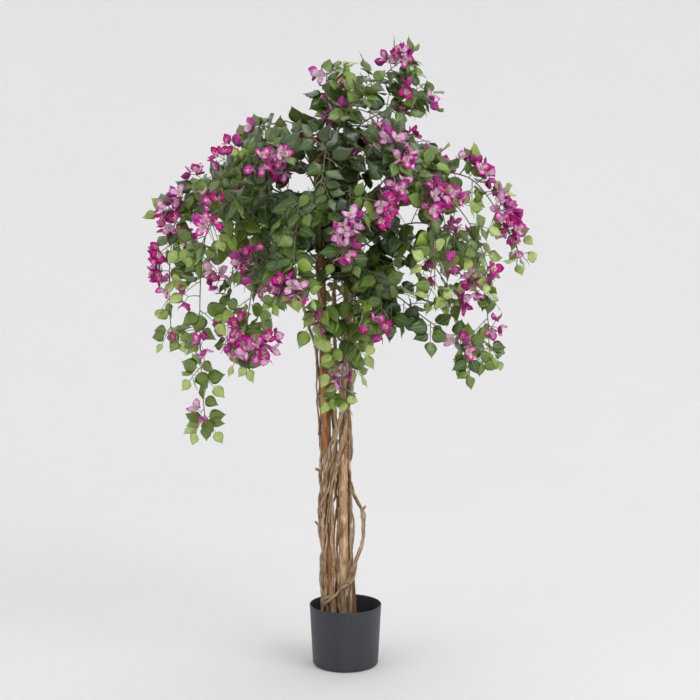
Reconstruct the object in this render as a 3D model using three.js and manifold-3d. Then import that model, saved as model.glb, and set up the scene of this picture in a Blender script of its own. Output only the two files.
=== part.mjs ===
// An artificial bougainvillea tree in a plain pot: two wooden poles and a thinner one set in a cement fill,
// climbing vines wound round them, and sprays of leaves and magenta bracts that arch out from the poles and
// from the vines' tips. Millimetres, +Z up, origin at the middle of the pot's flat underside.
import * as THREE from 'three';
import { mergeVertices } from 'three/addons/utils/BufferGeometryUtils.js';
import Module from 'manifold-3d';

const wasm = await Module();
wasm.setup();

// ---------------------------------------------------------------- driving dimensions
const CLEARANCE = 0.3; // between pieces that touch
const FLATNESS = 0.05; // a corner that stands out less than this is needless
const POT = { rimRadius: 87, footRadius: 79.5, height: 148, wall: 2.4, floor: 3, edge: 7, segments: 36 };
const FILL = { top: 92, socketDepth: 24 };
const CENTRE = new THREE.Vector2(-25, 0); // where the foliage's middle stands
const LEVEL = 12; // height step of the wood's routes
const RING_EVERY = 3; // every third level carries a ring of the limb's mesh
const WOOD_SIDES = { pole: 9, vine: 5 };

// Poles lean from foot to head and bow between them.
const POLES = [
  { name: 'pole_left', foot: [-28, -3], head: [-64, -4], bow: [-2, 3], radius: [11.5, 9], top: 1215 },
  { name: 'pole_right', foot: [1, -2], head: [16, -6], bow: [-14, -2], radius: [12, 8.5], top: 1105 },
  { name: 'pole_back', foot: [24, 22], head: [32, 38], bow: [-27, 6], radius: [8, 6.5], top: 1130 },
];

// Vines wind round the bundle of poles. Angles are in degrees about the bundle, 0 to the right and -90 to the
// front. A vine turns from its foot angle to its head angle about turnAt, bows out at bowAt, and flares
// away from the poles over the last flareSpan below its top, where it carries a spray.
const BUNDLE = { foot: [-15, 4], head: [-24, 4], height: 900, reach: 28 };
const VINES = [
  { name: 'vine_left_bow', radius: [3.8, 2.8], foot: 178, head: 112, turnAt: 560, turnSpan: 320,
    bowAt: 345, bow: 27, bowSpan: 62, top: 860, flare: 20, flareSpan: 200 },
  { name: 'vine_left_slim', radius: [2.9, 2.4], foot: 203, head: 262, turnAt: 420, turnSpan: 300,
    bowAt: 262, bow: 15, bowSpan: 46, top: 930, flare: 12, flareSpan: 150 },
  { name: 'vine_left_high', radius: [4.6, 3.4], foot: 150, head: 184, turnAt: 440, turnSpan: 150,
    bowAt: 455, bow: 16, bowSpan: 60, top: 905, flare: 62, flareSpan: 250 },
  { name: 'vine_right_bow', radius: [4.2, 3.4], foot: -62, head: 62, turnAt: 330, turnSpan: 360,
    bowAt: 334, bow: 54, bowSpan: 74, top: 930, flare: 34, flareSpan: 220 },
  { name: 'vine_right_inner', radius: [2.8, 2.4], foot: -34, head: 14, turnAt: 400, turnSpan: 220,
    bowAt: 330, bow: 17, bowSpan: 44, top: 800, flare: 16, flareSpan: 160 },
  { name: 'vine_front_cross', radius: [5.4, 4], foot: -158, head: -24, turnAt: 588, turnSpan: 230,
    bowAt: 652, bow: 17, bowSpan: 60, top: 925, flare: 60, flareSpan: 260 },
  { name: 'vine_front_inner', radius: [4, 3.2], foot: -122, head: -40, turnAt: 525, turnSpan: 200,
    bowAt: 545, bow: 6, bowSpan: 60, top: 880, flare: 24, flareSpan: 180 },
  { name: 'vine_back_wind', radius: [4.8, 3.6], foot: 66, head: 138, turnAt: 560, turnSpan: 560,
    bowAt: 430, bow: 16, bowSpan: 90, top: 960, flare: 42, flareSpan: 240 },
  { name: 'vine_back_cross', radius: [3.6, 3], foot: 128, head: 36, turnAt: 420, turnSpan: 330,
    bowAt: 490, bow: 17, bowSpan: 80, top: 850, flare: 26, flareSpan: 180 },
];
// How the vines are moved clear of each other: rounds of small steps that push them apart, pull them back to
// their winding and even them out, with the last rounds free of the pull. A vine that leans is wider across a
// level than its own radius, by slope.
const SETTLING = { rounds: 260, ending: 40, step: 0.6, pull: 0.03, even: 0.22, gap: 2.2, slope: 1.12 };
// Sawn-off side shoots: the vine, the height, the direction in degrees, the rise in degrees and the length.
const STUBS = [
  { vine: 'vine_left_bow', at: 336, angle: 176, rise: 50, length: 17, radius: 2.6 },
  { vine: 'vine_right_bow', at: 372, angle: 4, rise: 58, length: 15, radius: 3 },
  { vine: 'vine_front_cross', at: 650, angle: -16, rise: 30, length: 17, radius: 3.4 },
  { vine: 'vine_left_high', at: 470, angle: 188, rise: 25, length: 14, radius: 3.6 },
  { vine: 'vine_front_inner', at: 172, angle: 205, rise: -14, length: 30, radius: 3.2 },
  { vine: 'vine_back_wind', at: 520, angle: 80, rise: 40, length: 18, radius: 3.2 },
];

// Each spray is rooted on a pole or vine at a height, or on its tip where root is null. Half way along, it
// rounds its shoulder, and it ends at its tip, both given as [azimuth in degrees, reach from CENTRE, height].
// Blooms are [share of the stem's length, number of flowers, side in degrees round the stem]. Turn is how far
// the leaves face to one side of straight out, in degrees.
const SPRAYS = [
  { name: 'spray_top', wood: 'pole_left', root: 1208, turn: -50,
    shoulder: [16, 80, 1380], tip: [10, 168, 1462], blooms: [[0.7, 3, 125], [0.84, 5, 90], [0.96, 7, 0]] },
  { name: 'spray_top_right', wood: 'pole_left', root: 1196, turn: -50,
    shoulder: [-6, 122, 1336], tip: [-2, 206, 1350], blooms: [[0.7, 3, 160]] },
  { name: 'spray_top_left', wood: 'pole_left', root: 1184,
    shoulder: [-118, 44, 1322], tip: [-112, 46, 1412], blooms: [[0.86, 2, 160]] },
  { name: 'spray_top_front', wood: 'pole_left', root: 1172,
    shoulder: [-76, 84, 1298], tip: [-62, 138, 1362], blooms: [[0.7, 2, 90]] },
  { name: 'spray_top_back', wood: 'pole_left', root: 1196,
    shoulder: [94, 84, 1342], tip: [82, 165, 1392], blooms: [[0.85, 4, 90]] },
  { name: 'spray_high_left', wood: 'pole_left', root: 1148, turn: 50,
    shoulder: [180, 112, 1286], tip: [186, 196, 1262], blooms: [[0.6, 2, 90], [0.86, 3, 90]] },
  { name: 'spray_high_left_front', wood: 'pole_left', root: 1124,
    shoulder: [-128, 205, 1232], tip: [-137, 340, 1164], blooms: [[0.55, 5, 125], [0.8, 3, 90]] },
  { name: 'spray_far_left', wood: 'pole_left', root: 1088, turn: 60,
    shoulder: [191, 328, 1142], tip: [193, 400, 852],
    blooms: [[0.5, 5, 90], [0.64, 4, 125], [0.78, 6, 90], [0.95, 1, 30]] },
  { name: 'spray_low_left', wood: 'pole_left', root: 1016, turn: 45,
    shoulder: [208, 300, 1084], tip: [214, 348, 606],
    blooms: [[0.6, 1, 60], [0.78, 2, 30], [0.93, 1, 160]] },
  { name: 'spray_low_left_front', wood: 'vine_left_high', root: null,
    shoulder: [-124, 265, 992], tip: [-125, 345, 776],
    blooms: [[0.62, 5, 20], [0.76, 7, 160], [0.9, 3, 90]] },
  { name: 'spray_mid_left', wood: 'pole_left', root: 1040,
    shoulder: [-134, 268, 1128], tip: [-138, 388, 1016], blooms: [[0.6, 3, 90], [0.85, 3, 125]] },
  { name: 'spray_front_left', wood: 'pole_left', root: 992,
    shoulder: [-106, 245, 1122], tip: [-105, 346, 932], blooms: [[0.7, 3, 120], [0.9, 5, 90]] },
  { name: 'spray_high_front', wood: 'pole_left', root: 1076,
    shoulder: [-94, 190, 1214], tip: [-95, 306, 1150], blooms: [[0.8, 2, 160]] },
  { name: 'spray_front', wood: 'pole_right', root: 1052,
    shoulder: [-80, 225, 1150], tip: [-86, 346, 1004], blooms: [[0.9, 7, 80]] },
  { name: 'spray_trunk', wood: 'pole_left', root: 944,
    shoulder: [-78, 120, 900], tip: [-84, 104, 676], blooms: [[0.76, 3, 90]] },
  { name: 'spray_low_front_right', wood: 'vine_front_inner', root: null,
    shoulder: [-61, 180, 962], tip: [-63, 245, 770], blooms: [[0.7, 1, 160], [0.9, 2, 60]] },
  { name: 'spray_low_right', wood: 'vine_front_cross', root: null,
    shoulder: [-35, 215, 952], tip: [-29, 328, 782], blooms: [[0.88, 4, 90]] },
  { name: 'spray_hang_right', wood: 'pole_right', root: 992, turn: -45,
    shoulder: [-14, 280, 1050], tip: [-16, 352, 792],
    blooms: [[0.6, 3, 160], [0.76, 3, 160], [0.93, 4, 60]] },
  { name: 'spray_far_right', wood: 'pole_right', root: 1084, turn: -55,
    shoulder: [-2, 275, 1188], tip: [-4, 442, 985], blooms: [[0.54, 5, 90], [0.7, 6, 90], [0.84, 6, 80]] },
  { name: 'spray_front_right', wood: 'pole_right', root: 1064,
    shoulder: [-51, 270, 1180], tip: [-54, 372, 922], blooms: [[0.64, 3, 90], [0.88, 3, 160]] },
  { name: 'spray_mid_right', wood: 'pole_right', root: 1024,
    shoulder: [-31, 262, 1134], tip: [-30, 398, 958], blooms: [[0.6, 4, 90], [0.9, 3, 90]] },
  { name: 'spray_high_right', wood: 'pole_left', root: 1136,
    shoulder: [-22, 150, 1244], tip: [-22, 256, 1186], blooms: [[0.6, 3, 90], [0.85, 4, 125]] },
  { name: 'spray_high_right_front', wood: 'pole_right', root: 1094,
    shoulder: [-62, 205, 1250], tip: [-57, 306, 1176], blooms: [[0.7, 3, 90], [0.88, 5, 60]] },
  { name: 'spray_crown_right', wood: 'pole_left', root: 1160, turn: -40,
    shoulder: [-4, 110, 1258], tip: [-6, 186, 1268], blooms: [[0.9, 2, 0]] },
  { name: 'spray_crown_front', wood: 'pole_left', root: 1100,
    shoulder: [-84, 70, 1192], tip: [-88, 128, 1232], blooms: [[0.9, 1, 0]] },
  { name: 'spray_crown_back', wood: 'pole_back', root: 1124,
    shoulder: [82, 92, 1204], tip: [88, 140, 1256], blooms: [[0.9, 2, 0]] },
  { name: 'spray_under_left', wood: 'pole_left', root: 968, turn: 40,
    shoulder: [176, 120, 1010], tip: [182, 214, 934], blooms: [[0.9, 3, 0]] },
  { name: 'spray_under_right', wood: 'pole_right', root: 956, turn: -40,
    shoulder: [4, 130, 1006], tip: [2, 222, 912], blooms: [[0.9, 2, 0]] },
  { name: 'spray_back_left', wood: 'pole_left', root: 1064, turn: -30,
    shoulder: [148, 290, 1164], tip: [156, 400, 952], blooms: [[0.6, 5, 90], [0.9, 5, 90]] },
  { name: 'spray_back_high_left', wood: 'pole_left', root: 1112,
    shoulder: [122, 190, 1262], tip: [128, 310, 1190], blooms: [[0.8, 5, 90]] },
  { name: 'spray_back_high_right', wood: 'pole_back', root: 1112,
    shoulder: [36, 190, 1258], tip: [30, 310, 1186], blooms: [[0.7, 3, 90], [0.9, 4, 60]] },
  { name: 'spray_back', wood: 'pole_back', root: 1088,
    shoulder: [92, 220, 1192], tip: [86, 356, 1030], blooms: [[0.65, 3, 90], [0.92, 6, 90]] },
  { name: 'spray_back_right', wood: 'pole_back', root: 1052, turn: 30,
    shoulder: [38, 290, 1158], tip: [42, 384, 896], blooms: [[0.6, 4, 90], [0.88, 5, 90]] },
  { name: 'spray_back_mid_left', wood: 'pole_left', root: 1032,
    shoulder: [114, 245, 1110], tip: [114, 350, 900], blooms: [[0.9, 5, 90]] },
  { name: 'spray_back_low_left', wood: 'vine_back_wind', root: null,
    shoulder: [150, 245, 1030], tip: [146, 330, 760], blooms: [[0.7, 3, 90], [0.92, 4, 90]] },
  { name: 'spray_back_low', wood: 'vine_back_cross', root: null,
    shoulder: [70, 200, 990], tip: [74, 300, 780], blooms: [[0.85, 4, 90]] },
  { name: 'spray_back_low_right', wood: 'vine_right_bow', root: null,
    shoulder: [24, 240, 990], tip: [18, 330, 730], blooms: [[0.85, 4, 90]] },
];
const STEM = { radius: [3.2, 2.2], sides: 3, steps: 7 };
const TWIG = { radius: [1.5, 1.3], sides: 3, every: 120, first: 0.28, last: 0.95, length: 96, droop: 0.1,
  apart: 25 };
const LEAF = { length: [80, 62], width: 0.8, widest: 0.48, fold: 0.045, every: 42, first: 0.06, least: 0.75,
  turns: [0, 50, 180, 130, -50, -130], unrest: 1.5 };
const OUT_RISE = 110; // against its reach from CENTRE, how far above the horizontal a leaf's face looks
const FLOWER = { bract: 36, cup: 0.35, thickness: 2, stalk: 24, stalkRadius: 1.2, most: 3, step: 9 };
const TIP_SHARE = 0.99; // where what stands at the tip is rooted
const STEM_PIECES = 20; // straight pieces that stand for a stem where distances are taken
const BARE = { length: 140, share: 0.45 }; // the start of a stem that has no leaves, whichever is less
const CROWDING = 0.7; // of a leaf's width: the least distance between the middles of two blades
const SPACE_MARGIN = 2.5; // between the spaces of two sprays
const WOOD_MARGIN = 9; // between foliage and wood, and between foliage and another spray's bare stem

// ---------------------------------------------------------------- materials
const finish = (color, roughness) => new THREE.MeshStandardMaterial({ color, roughness, metalness: 0 });
const MATERIALS = {
  pot: finish(0x3b3d41, 0.5),
  fill: finish(0x121212, 0.95),
  pole: finish(0x8d6a48, 0.85),
  vine: finish(0x8a7356, 0.9),
  foliage: finish(0x3d5a2a, 0.5),
};

// ---------------------------------------------------------------- helpers
const UP = new THREE.Vector3(0, 0, 1);
const degrees = THREE.MathUtils.degToRad;
const mix = THREE.MathUtils.lerp;

// A repeatable chance from 0 to 1 for a set of whole numbers.
function chance(...keys) {
  let h = 0x9e3779b9;
  for (const key of keys) {
    h = Math.imul(h ^ key, 0x85ebca6b);
    h ^= h >>> 13;
    h = Math.imul(h, 0xc2b2ae35);
    h ^= h >>> 16;
  }
  return (h >>> 0) / 4294967296;
}

// The closed solid of a geometry, for joining and cutting.
function solidOf(geometry) {
  const shape = geometry.index ? geometry.toNonIndexed() : geometry.clone();
  shape.deleteAttribute('normal');
  shape.deleteAttribute('uv');
  const merged = mergeVertices(shape, 1e-3);
  return new wasm.Manifold(new wasm.Mesh({
    numProp: 3,
    vertProperties: merged.attributes.position.array,
    triVerts: new Uint32Array(merged.index.array),
  }));
}

// The geometry of a solid, less any scrap that came loose, any hollow that joining sealed, and the needless
// corners that joining leaves along flat faces and straight edges.
function geometryOf(solid) {
  const bodies = solid.asOriginal().simplify(FLATNESS).decompose();
  const mesh = bodies.sort((a, b) => b.volume() - a.volume())[0].getMesh();
  const points = new Float32Array(mesh.numVert * 3);
  for (let i = 0; i < mesh.numVert; i++) {
    points.set(mesh.vertProperties.subarray(i * mesh.numProp, i * mesh.numProp + 3), i * 3);
  }
  return new THREE.BufferGeometry()
    .setAttribute('position', new THREE.BufferAttribute(points, 3))
    .setIndex(new THREE.BufferAttribute(mesh.triVerts, 1));
}

function named(name, geometry, material) {
  const mesh = new THREE.Mesh(geometry, material);
  mesh.name = name;
  return mesh;
}

// Frames along a line of points: the tangent and two normals at each, carried on without twisting.
function framesAlong(points) {
  const frames = [];
  let normal = null;
  points.forEach((point, i) => {
    const before = points[Math.max(i - 1, 0)];
    const after = points[Math.min(i + 1, points.length - 1)];
    const tangent = after.clone().sub(before).normalize();
    if (!normal) {
      normal = Math.abs(tangent.z) > 0.9 ? new THREE.Vector3(1, 0, 0) : UP.clone();
    }
    normal = normal.clone().addScaledVector(tangent, -normal.dot(tangent)).normalize();
    frames.push({ point, tangent, normal, side: tangent.clone().cross(normal) });
  });
  return frames;
}

// A limb: a cylinder whose rings are carried along the points, with a radius at each.
function limb(points, radii, sides) {
  const steps = points.length - 1;
  const frames = framesAlong(points);
  const geometry = new THREE.CylinderGeometry(1, 1, 1, sides, steps);
  const position = geometry.attributes.position;
  const spot = new THREE.Vector3();
  for (let i = 0; i < position.count; i++) {
    spot.fromBufferAttribute(position, i);
    const ring = Math.round((0.5 + spot.y) * steps);
    const { point, normal, side } = frames[ring];
    const reach = radii[ring];
    const x = spot.x * reach;
    const y = -spot.z * reach;
    spot.copy(point).addScaledVector(normal, x).addScaledVector(side, y);
    position.setXYZ(i, spot.x, spot.y, spot.z);
  }
  return geometry;
}

// Places spread over a leaf's face, from near its root to its tip.
function leafSpots(root, along, across, length) {
  return [0.25, 0.48, 0.75, 1].flatMap((share) => {
    const wide = share < LEAF.widest ? share / LEAF.widest : (1 - share) / (1 - LEAF.widest);
    return [-1, -0.5, 0, 0.5, 1].map((part) => root.clone()
      .addScaledVector(along, share * length)
      .addScaledVector(across, part * wide));
  });
}

// A leaf: a slim four-cornered blade from root to tip, folded along its rib and filled across the fold.
function leafBlade(root, along, face, length) {
  const side = face.clone().cross(along);
  const geometry = new THREE.TetrahedronGeometry(Math.sqrt(3)); // corners at +-1, two high and two low
  const position = geometry.attributes.position;
  const spot = new THREE.Vector3();
  for (let i = 0; i < position.count; i++) {
    const [x, y, z] = [position.getX(i), position.getY(i), position.getZ(i)].map(Math.round);
    const onRib = z < 0;
    const share = onRib ? (1 + x) / 2 : LEAF.widest;
    spot.copy(root)
      .addScaledVector(along, share * length)
      .addScaledVector(side, onRib ? 0 : 0.5 * y * LEAF.width * length)
      .addScaledVector(face, onRib ? 0 : LEAF.fold * length);
    position.setXYZ(i, spot.x, spot.y, spot.z);
  }
  return geometry;
}

// Turns a face direction square to the direction along a blade.
function squared(face, along) {
  return face.clone().addScaledVector(along, -face.dot(along)).normalize();
}

// ---------------------------------------------------------------- wood
const woodFoot = FILL.top - FILL.socketDepth;
const smooth = (x) => THREE.MathUtils.smoothstep(x, 0, 1);

function polePlace(pole, height) {
  const share = (height - woodFoot) / (pole.top - woodFoot);
  const arch = Math.sin(Math.PI * Math.min(share, 1));
  return [0, 1].map((axis) => mix(pole.foot[axis], pole.head[axis], share) + pole.bow[axis] * arch);
}

function vinePlace(vine, height) {
  const share = Math.min((height - woodFoot) / BUNDLE.height, 1);
  const wound = smooth((height - vine.turnAt) / vine.turnSpan + 0.5);
  const angle = degrees(mix(vine.foot, vine.head, wound));
  const bow = vine.bow * Math.exp(-(((height - vine.bowAt) / vine.bowSpan) ** 2));
  const flared = smooth((height - vine.top) / vine.flareSpan + 1);
  const reach = BUNDLE.reach + bow + vine.flare * flared * flared;
  return [
    mix(BUNDLE.foot[0], BUNDLE.head[0], share) + reach * Math.cos(angle),
    mix(BUNDLE.foot[1], BUNDLE.head[1], share) + reach * Math.sin(angle),
  ];
}

// Every pole and vine as places [x, y] at each level from its foot to its top.
function layWood() {
  const strands = [...POLES, ...VINES].map((spec) => {
    const count = Math.round((spec.top - woodFoot) / LEVEL) + 1;
    const fixed = POLES.includes(spec);
    const wanted = [];
    for (let k = 0; k < count; k++) {
      const height = woodFoot + k * LEVEL;
      wanted.push(fixed ? polePlace(spec, height) : vinePlace(spec, height));
    }
    const radii = wanted.map((_, k) => mix(spec.radius[0], spec.radius[1], k / (count - 1)));
    return { ...spec, fixed, wanted, radii, places: wanted.map((place) => [...place]) };
  });
  settle(strands);
  return strands;
}

// Moves the vines off the poles and off each other, level by level, and evens them out along their length.
function settle(strands) {
  for (let round = 0; round < SETTLING.rounds; round++) {
    const ending = round > SETTLING.rounds - SETTLING.ending;
    const pull = ending ? 0 : SETTLING.pull;
    const even = ending ? SETTLING.even / 4 : SETTLING.even;
    const pushes = strands.map((strand) => strand.places.map(() => [0, 0]));
    strands.forEach((strand, i) => {
      for (let j = i + 1; j < strands.length; j++) {
        pushApart(strand, strands[j], pushes[i], pushes[j]);
      }
    });
    strands.forEach((strand, i) => {
      if (strand.fixed) return;
      const last = strand.places.length - 1;
      strand.places = strand.places.map((place, k) => {
        const below = strand.places[Math.max(k - 1, 0)];
        const above = strand.places[Math.min(k + 1, last)];
        return [0, 1].map((axis) => place[axis]
          + SETTLING.step * pushes[i][k][axis]
          + pull * (strand.wanted[k][axis] - place[axis])
          + even * (below[axis] + above[axis] - 2 * place[axis]));
      });
    });
  }
}

// Adds to the pushes of two strands where they stand too close at a level. A pole doesn't give way.
function pushApart(a, b, pushesA, pushesB) {
  const count = Math.min(a.places.length, b.places.length);
  const shareA = a.fixed ? 0 : b.fixed ? 1 : 0.5;
  const shareB = b.fixed ? 0 : 1 - shareA;
  for (let k = 0; k < count; k++) {
    const dx = a.places[k][0] - b.places[k][0];
    const dy = a.places[k][1] - b.places[k][1];
    const apart = Math.hypot(dx, dy) + 1e-6;
    const short = (a.radii[k] + b.radii[k]) * SETTLING.slope + SETTLING.gap - apart;
    if (short <= 0) continue;
    pushesA[k][0] += (dx / apart) * short * shareA;
    pushesA[k][1] += (dy / apart) * short * shareA;
    pushesB[k][0] -= (dx / apart) * short * shareB;
    pushesB[k][1] -= (dy / apart) * short * shareB;
  }
}

// The points and radii of a strand at every ring of its mesh, the last at its top, grown by extra all round.
function ringsOf(strand, extra = 0) {
  const last = strand.places.length - 1;
  const levels = strand.places.map((_, k) => k).filter((k) => k % RING_EVERY === 0 && k < last - 1);
  levels.push(last);
  const points = levels.map((k) => new THREE.Vector3(...strand.places[k], woodFoot + k * LEVEL));
  points[0].z -= extra;
  points.at(-1).z += extra;
  return { points, radii: levels.map((k) => strand.radii[k] + extra) };
}

const sidesOf = (strand) => (strand.fixed ? WOOD_SIDES.pole : WOOD_SIDES.vine);

function strandSolid(strand, extra = 0) {
  const { points, radii } = ringsOf(strand, extra);
  const wood = solidOf(limb(points, radii, sidesOf(strand)));
  const stubs = STUBS.filter((stub) => stub.vine === strand.name).map((stub) => {
    const [x, y] = strand.places[Math.round((stub.at - woodFoot) / LEVEL)];
    const root = new THREE.Vector3(x, y, stub.at);
    const angle = degrees(stub.angle);
    const rise = degrees(stub.rise);
    const end = root.clone().add(new THREE.Vector3(
      Math.cos(angle) * Math.cos(rise), Math.sin(angle) * Math.cos(rise), Math.sin(rise),
    ).multiplyScalar(stub.length));
    return solidOf(limb([root, end], [stub.radius + extra, stub.radius * 0.8 + extra], WOOD_SIDES.vine));
  });
  return wasm.Manifold.union([wood, ...stubs]);
}

// ---------------------------------------------------------------- pot and fill
// A profile of [radius, height] pairs turned about the vertical axis.
function turned(profile, segments) {
  return new THREE.LatheGeometry(profile.map(([r, z]) => new THREE.Vector2(r, z)), segments)
    .rotateX(Math.PI / 2);
}

const potOuter = (height) => mix(POT.footRadius, POT.rimRadius, height / POT.height);
const potInner = (height) => potOuter(height) - POT.wall;

function pot() {
  const edge = [0, 1, 2].map((i) => {
    const turn = (i / 2) * (Math.PI / 2);
    return [potOuter(POT.edge) - POT.edge * (1 - Math.sin(turn)), POT.edge * (1 - Math.cos(turn))];
  });
  return turned([
    [0, 0], ...edge, [POT.rimRadius, POT.height], [POT.rimRadius - POT.wall, POT.height],
    [potInner(POT.edge), POT.edge], [potInner(POT.edge) - POT.edge + POT.floor, POT.floor], [0, POT.floor],
  ], POT.segments);
}

// The cement fill, with a socket for each pole and vine that stands in it.
function fill(strands) {
  const foot = POT.edge + 1;
  const body = solidOf(turned([
    [0, foot], [potInner(foot) - 2 * CLEARANCE, foot],
    [potInner(FILL.top) - 2 * CLEARANCE, FILL.top], [0, FILL.top],
  ], POT.segments));
  const seat = solidOf(turned([
    [0, POT.floor + CLEARANCE], [POT.footRadius * 0.8, POT.floor + CLEARANCE],
    [POT.footRadius * 0.8, foot + 1], [0, foot + 1],
  ], POT.segments));
  const sockets = strands.map((strand) => {
    const { points, radii } = ringsOf(strand, CLEARANCE);
    return solidOf(limb(points.slice(0, 2), radii.slice(0, 2), sidesOf(strand)));
  });
  return body.add(seat).subtract(wasm.Manifold.union(sockets));
}

// ---------------------------------------------------------------- sprays
const outAt = (point) => new THREE.Vector3(point.x - CENTRE.x, point.y - CENTRE.y, OUT_RISE).normalize();
const around = (azimuth, reach, height) => new THREE.Vector3(
  CENTRE.x + reach * Math.cos(degrees(azimuth)),
  CENTRE.y + reach * Math.sin(degrees(azimuth)),
  height,
);

// The arch of a spray's stem: from the middle of its wood, through the shoulder, to the tip.
function stemCurve(spray, strands) {
  const wood = strands.find((strand) => strand.name === spray.wood);
  const level = spray.root === null ? wood.places.length - 1 : Math.round((spray.root - woodFoot) / LEVEL);
  const heart = new THREE.Vector3(...wood.places[level], woodFoot + level * LEVEL);
  const tip = around(...spray.tip);
  const bend = around(...spray.shoulder).multiplyScalar(2)
    .addScaledVector(heart, -0.5)
    .addScaledVector(tip, -0.5);
  return new THREE.QuadraticBezierCurve3(heart, bend, tip);
}

const TWIG_KEY = 1;
const LEAF_KEY = 2;
const BLOOM_KEY = 3;

// One spray as it grows: lists of limbs and blades, of which it keeps those that stay in its own space.
class Spray {
  constructor(index, stems, strands) {
    Object.assign(this, SPRAYS[index], stems[index], { index, stems, strands });
    this.rings = this.curve.getPoints(STEM.steps);
    this.limbs = [];
    this.blades = [];
    this.middles = [];
  }

  // a point on the stem's middle line, which is straight between its rings
  pointAt(share) {
    const step = Math.min(Math.floor(share * STEM.steps), STEM.steps - 1);
    return this.rings[step].clone().lerp(this.rings[step + 1], share * STEM.steps - step);
  }

  isFree(point) {
    return inOwnSpace(point, this.index, this.stems) && clearOfWood(point, this.strands);
  }

  isUncrowded(middle, reach) {
    return this.middles.every((other) => other.distanceTo(middle) > reach);
  }

  jitter(...keys) {
    const parts = [5, 6, 7].map((axis) => chance(this.index, ...keys, axis) - 0.5);
    return new THREE.Vector3(...parts);
  }

  // the way the leaves at a point face
  facingAt(point) {
    return outAt(point).applyAxisAngle(UP, degrees(this.turn ?? 0));
  }

  // square to the stem: 0 degrees is to one side of it, 90 the way its leaves face and 180 to the other side
  sideAt(share, angle) {
    const tangent = this.curve.getTangent(share);
    const out = squared(this.facingAt(this.pointAt(share)), tangent);
    return out.clone().cross(tangent).multiplyScalar(Math.cos(degrees(angle)))
      .addScaledVector(out, Math.sin(degrees(angle)));
  }

  tryLeaf(root, heading, size, keys) {
    const along = heading.clone().normalize();
    const face = squared(this.facingAt(root).addScaledVector(this.jitter(...keys), LEAF.unrest), along);
    const middle = root.clone().addScaledVector(along, LEAF.widest * size);
    const across = face.clone().cross(along).multiplyScalar(0.5 * LEAF.width * size);
    if (!this.isUncrowded(middle, CROWDING * LEAF.width * size)) return false;
    if (!leafSpots(root, along, across, size).every((spot) => this.isFree(spot))) return false;
    this.middles.push(middle);
    this.blades.push(leafBlade(root, along, face, size));
    return true;
  }

  // at full size if there is room, or else smaller
  addLeaf(root, heading, size, keys) {
    return this.tryLeaf(root, heading, size, keys) || this.tryLeaf(root, heading, size * LEAF.least, keys);
  }

  // a stalk that opens into a shallow three-cornered cup, whose corners are the tips of three bracts
  addFlower(root, heading) {
    const heart = root.clone().addScaledVector(heading, FLOWER.stalk);
    const rim = heart.clone().addScaledVector(heading, FLOWER.cup * FLOWER.bract);
    const points = [root, heart, rim, heart.clone().addScaledVector(heading, FLOWER.thickness)];
    const radii = [FLOWER.stalkRadius, FLOWER.stalkRadius, FLOWER.bract, 0];
    const { normal, side } = framesAlong(points)[2];
    const spots = [0, 60, 120, 180, 240, 300].map((angle, i) => {
      const reach = FLOWER.bract * (i % 2 ? 0.5 : 1);
      return rim.clone()
        .addScaledVector(normal, reach * Math.cos(degrees(angle)))
        .addScaledVector(side, reach * Math.sin(degrees(angle)));
    });
    if (![heart, rim, ...spots].every((spot) => this.isFree(spot))) return;
    if (!this.isUncrowded(rim, CROWDING * FLOWER.bract)) return;
    this.middles.push(rim);
    this.limbs.push({ points, radii, sides: 3 });
  }

  growStem() {
    const radii = this.rings.map((_, i) => mix(...STEM.radius, i / STEM.steps));
    this.limbs.push({ points: this.rings, radii, sides: STEM.sides });
  }

  // clusters of flowers that stand off the stem
  growBlooms() {
    this.blooms.forEach(([share, flowers, side], b) => {
      const away = this.sideAt(share, side)
        .addScaledVector(outAt(this.pointAt(share)), 0.5)
        .normalize();
      const across = squared(UP.clone().add(this.jitter(BLOOM_KEY, b)), away);
      const count = Math.min(Math.ceil(flowers / 2), FLOWER.most);
      for (let f = 0; f < count; f++) {
        const root = this.pointAt(Math.min(share + (f - 1) * FLOWER.step / this.length, TIP_SHARE));
        const spread = across.clone().applyAxisAngle(away, f * 2 * Math.PI / count);
        this.addFlower(root, away.clone().addScaledVector(spread, count > 1 ? 1.1 : 0.2).normalize());
      }
    });
  }

  // leaves to either side of the stem by turns, and one at its tip unless flowers take its place
  growLeaves() {
    if (this.blooms.every(([share]) => share < 0.95)) {
      this.addLeaf(this.pointAt(TIP_SHARE), this.curve.getTangent(1), LEAF.length[1], [LEAF_KEY, 99]);
    }
    const count = Math.floor(this.length * (1 - LEAF.first) / LEAF.every);
    for (let j = 0; j < count; j++) {
      const share = LEAF.first + (1 - LEAF.first) * (j + 0.5) / count;
      const root = this.pointAt(share);
      const size = mix(...LEAF.length, share) * (0.9 + 0.2 * chance(this.index, LEAF_KEY, j));
      const side = 180 * (j % 2) + 90 * (chance(this.index, LEAF_KEY, j, 1) - 0.5);
      LEAF.turns.some((other) => {
        const heading = this.sideAt(share, side + other)
          .addScaledVector(this.curve.getTangent(share), 0.5)
          .addScaledVector(UP, -0.25);
        return this.addLeaf(root, heading, size, [LEAF_KEY, j]);
      });
    }
  }

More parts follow.
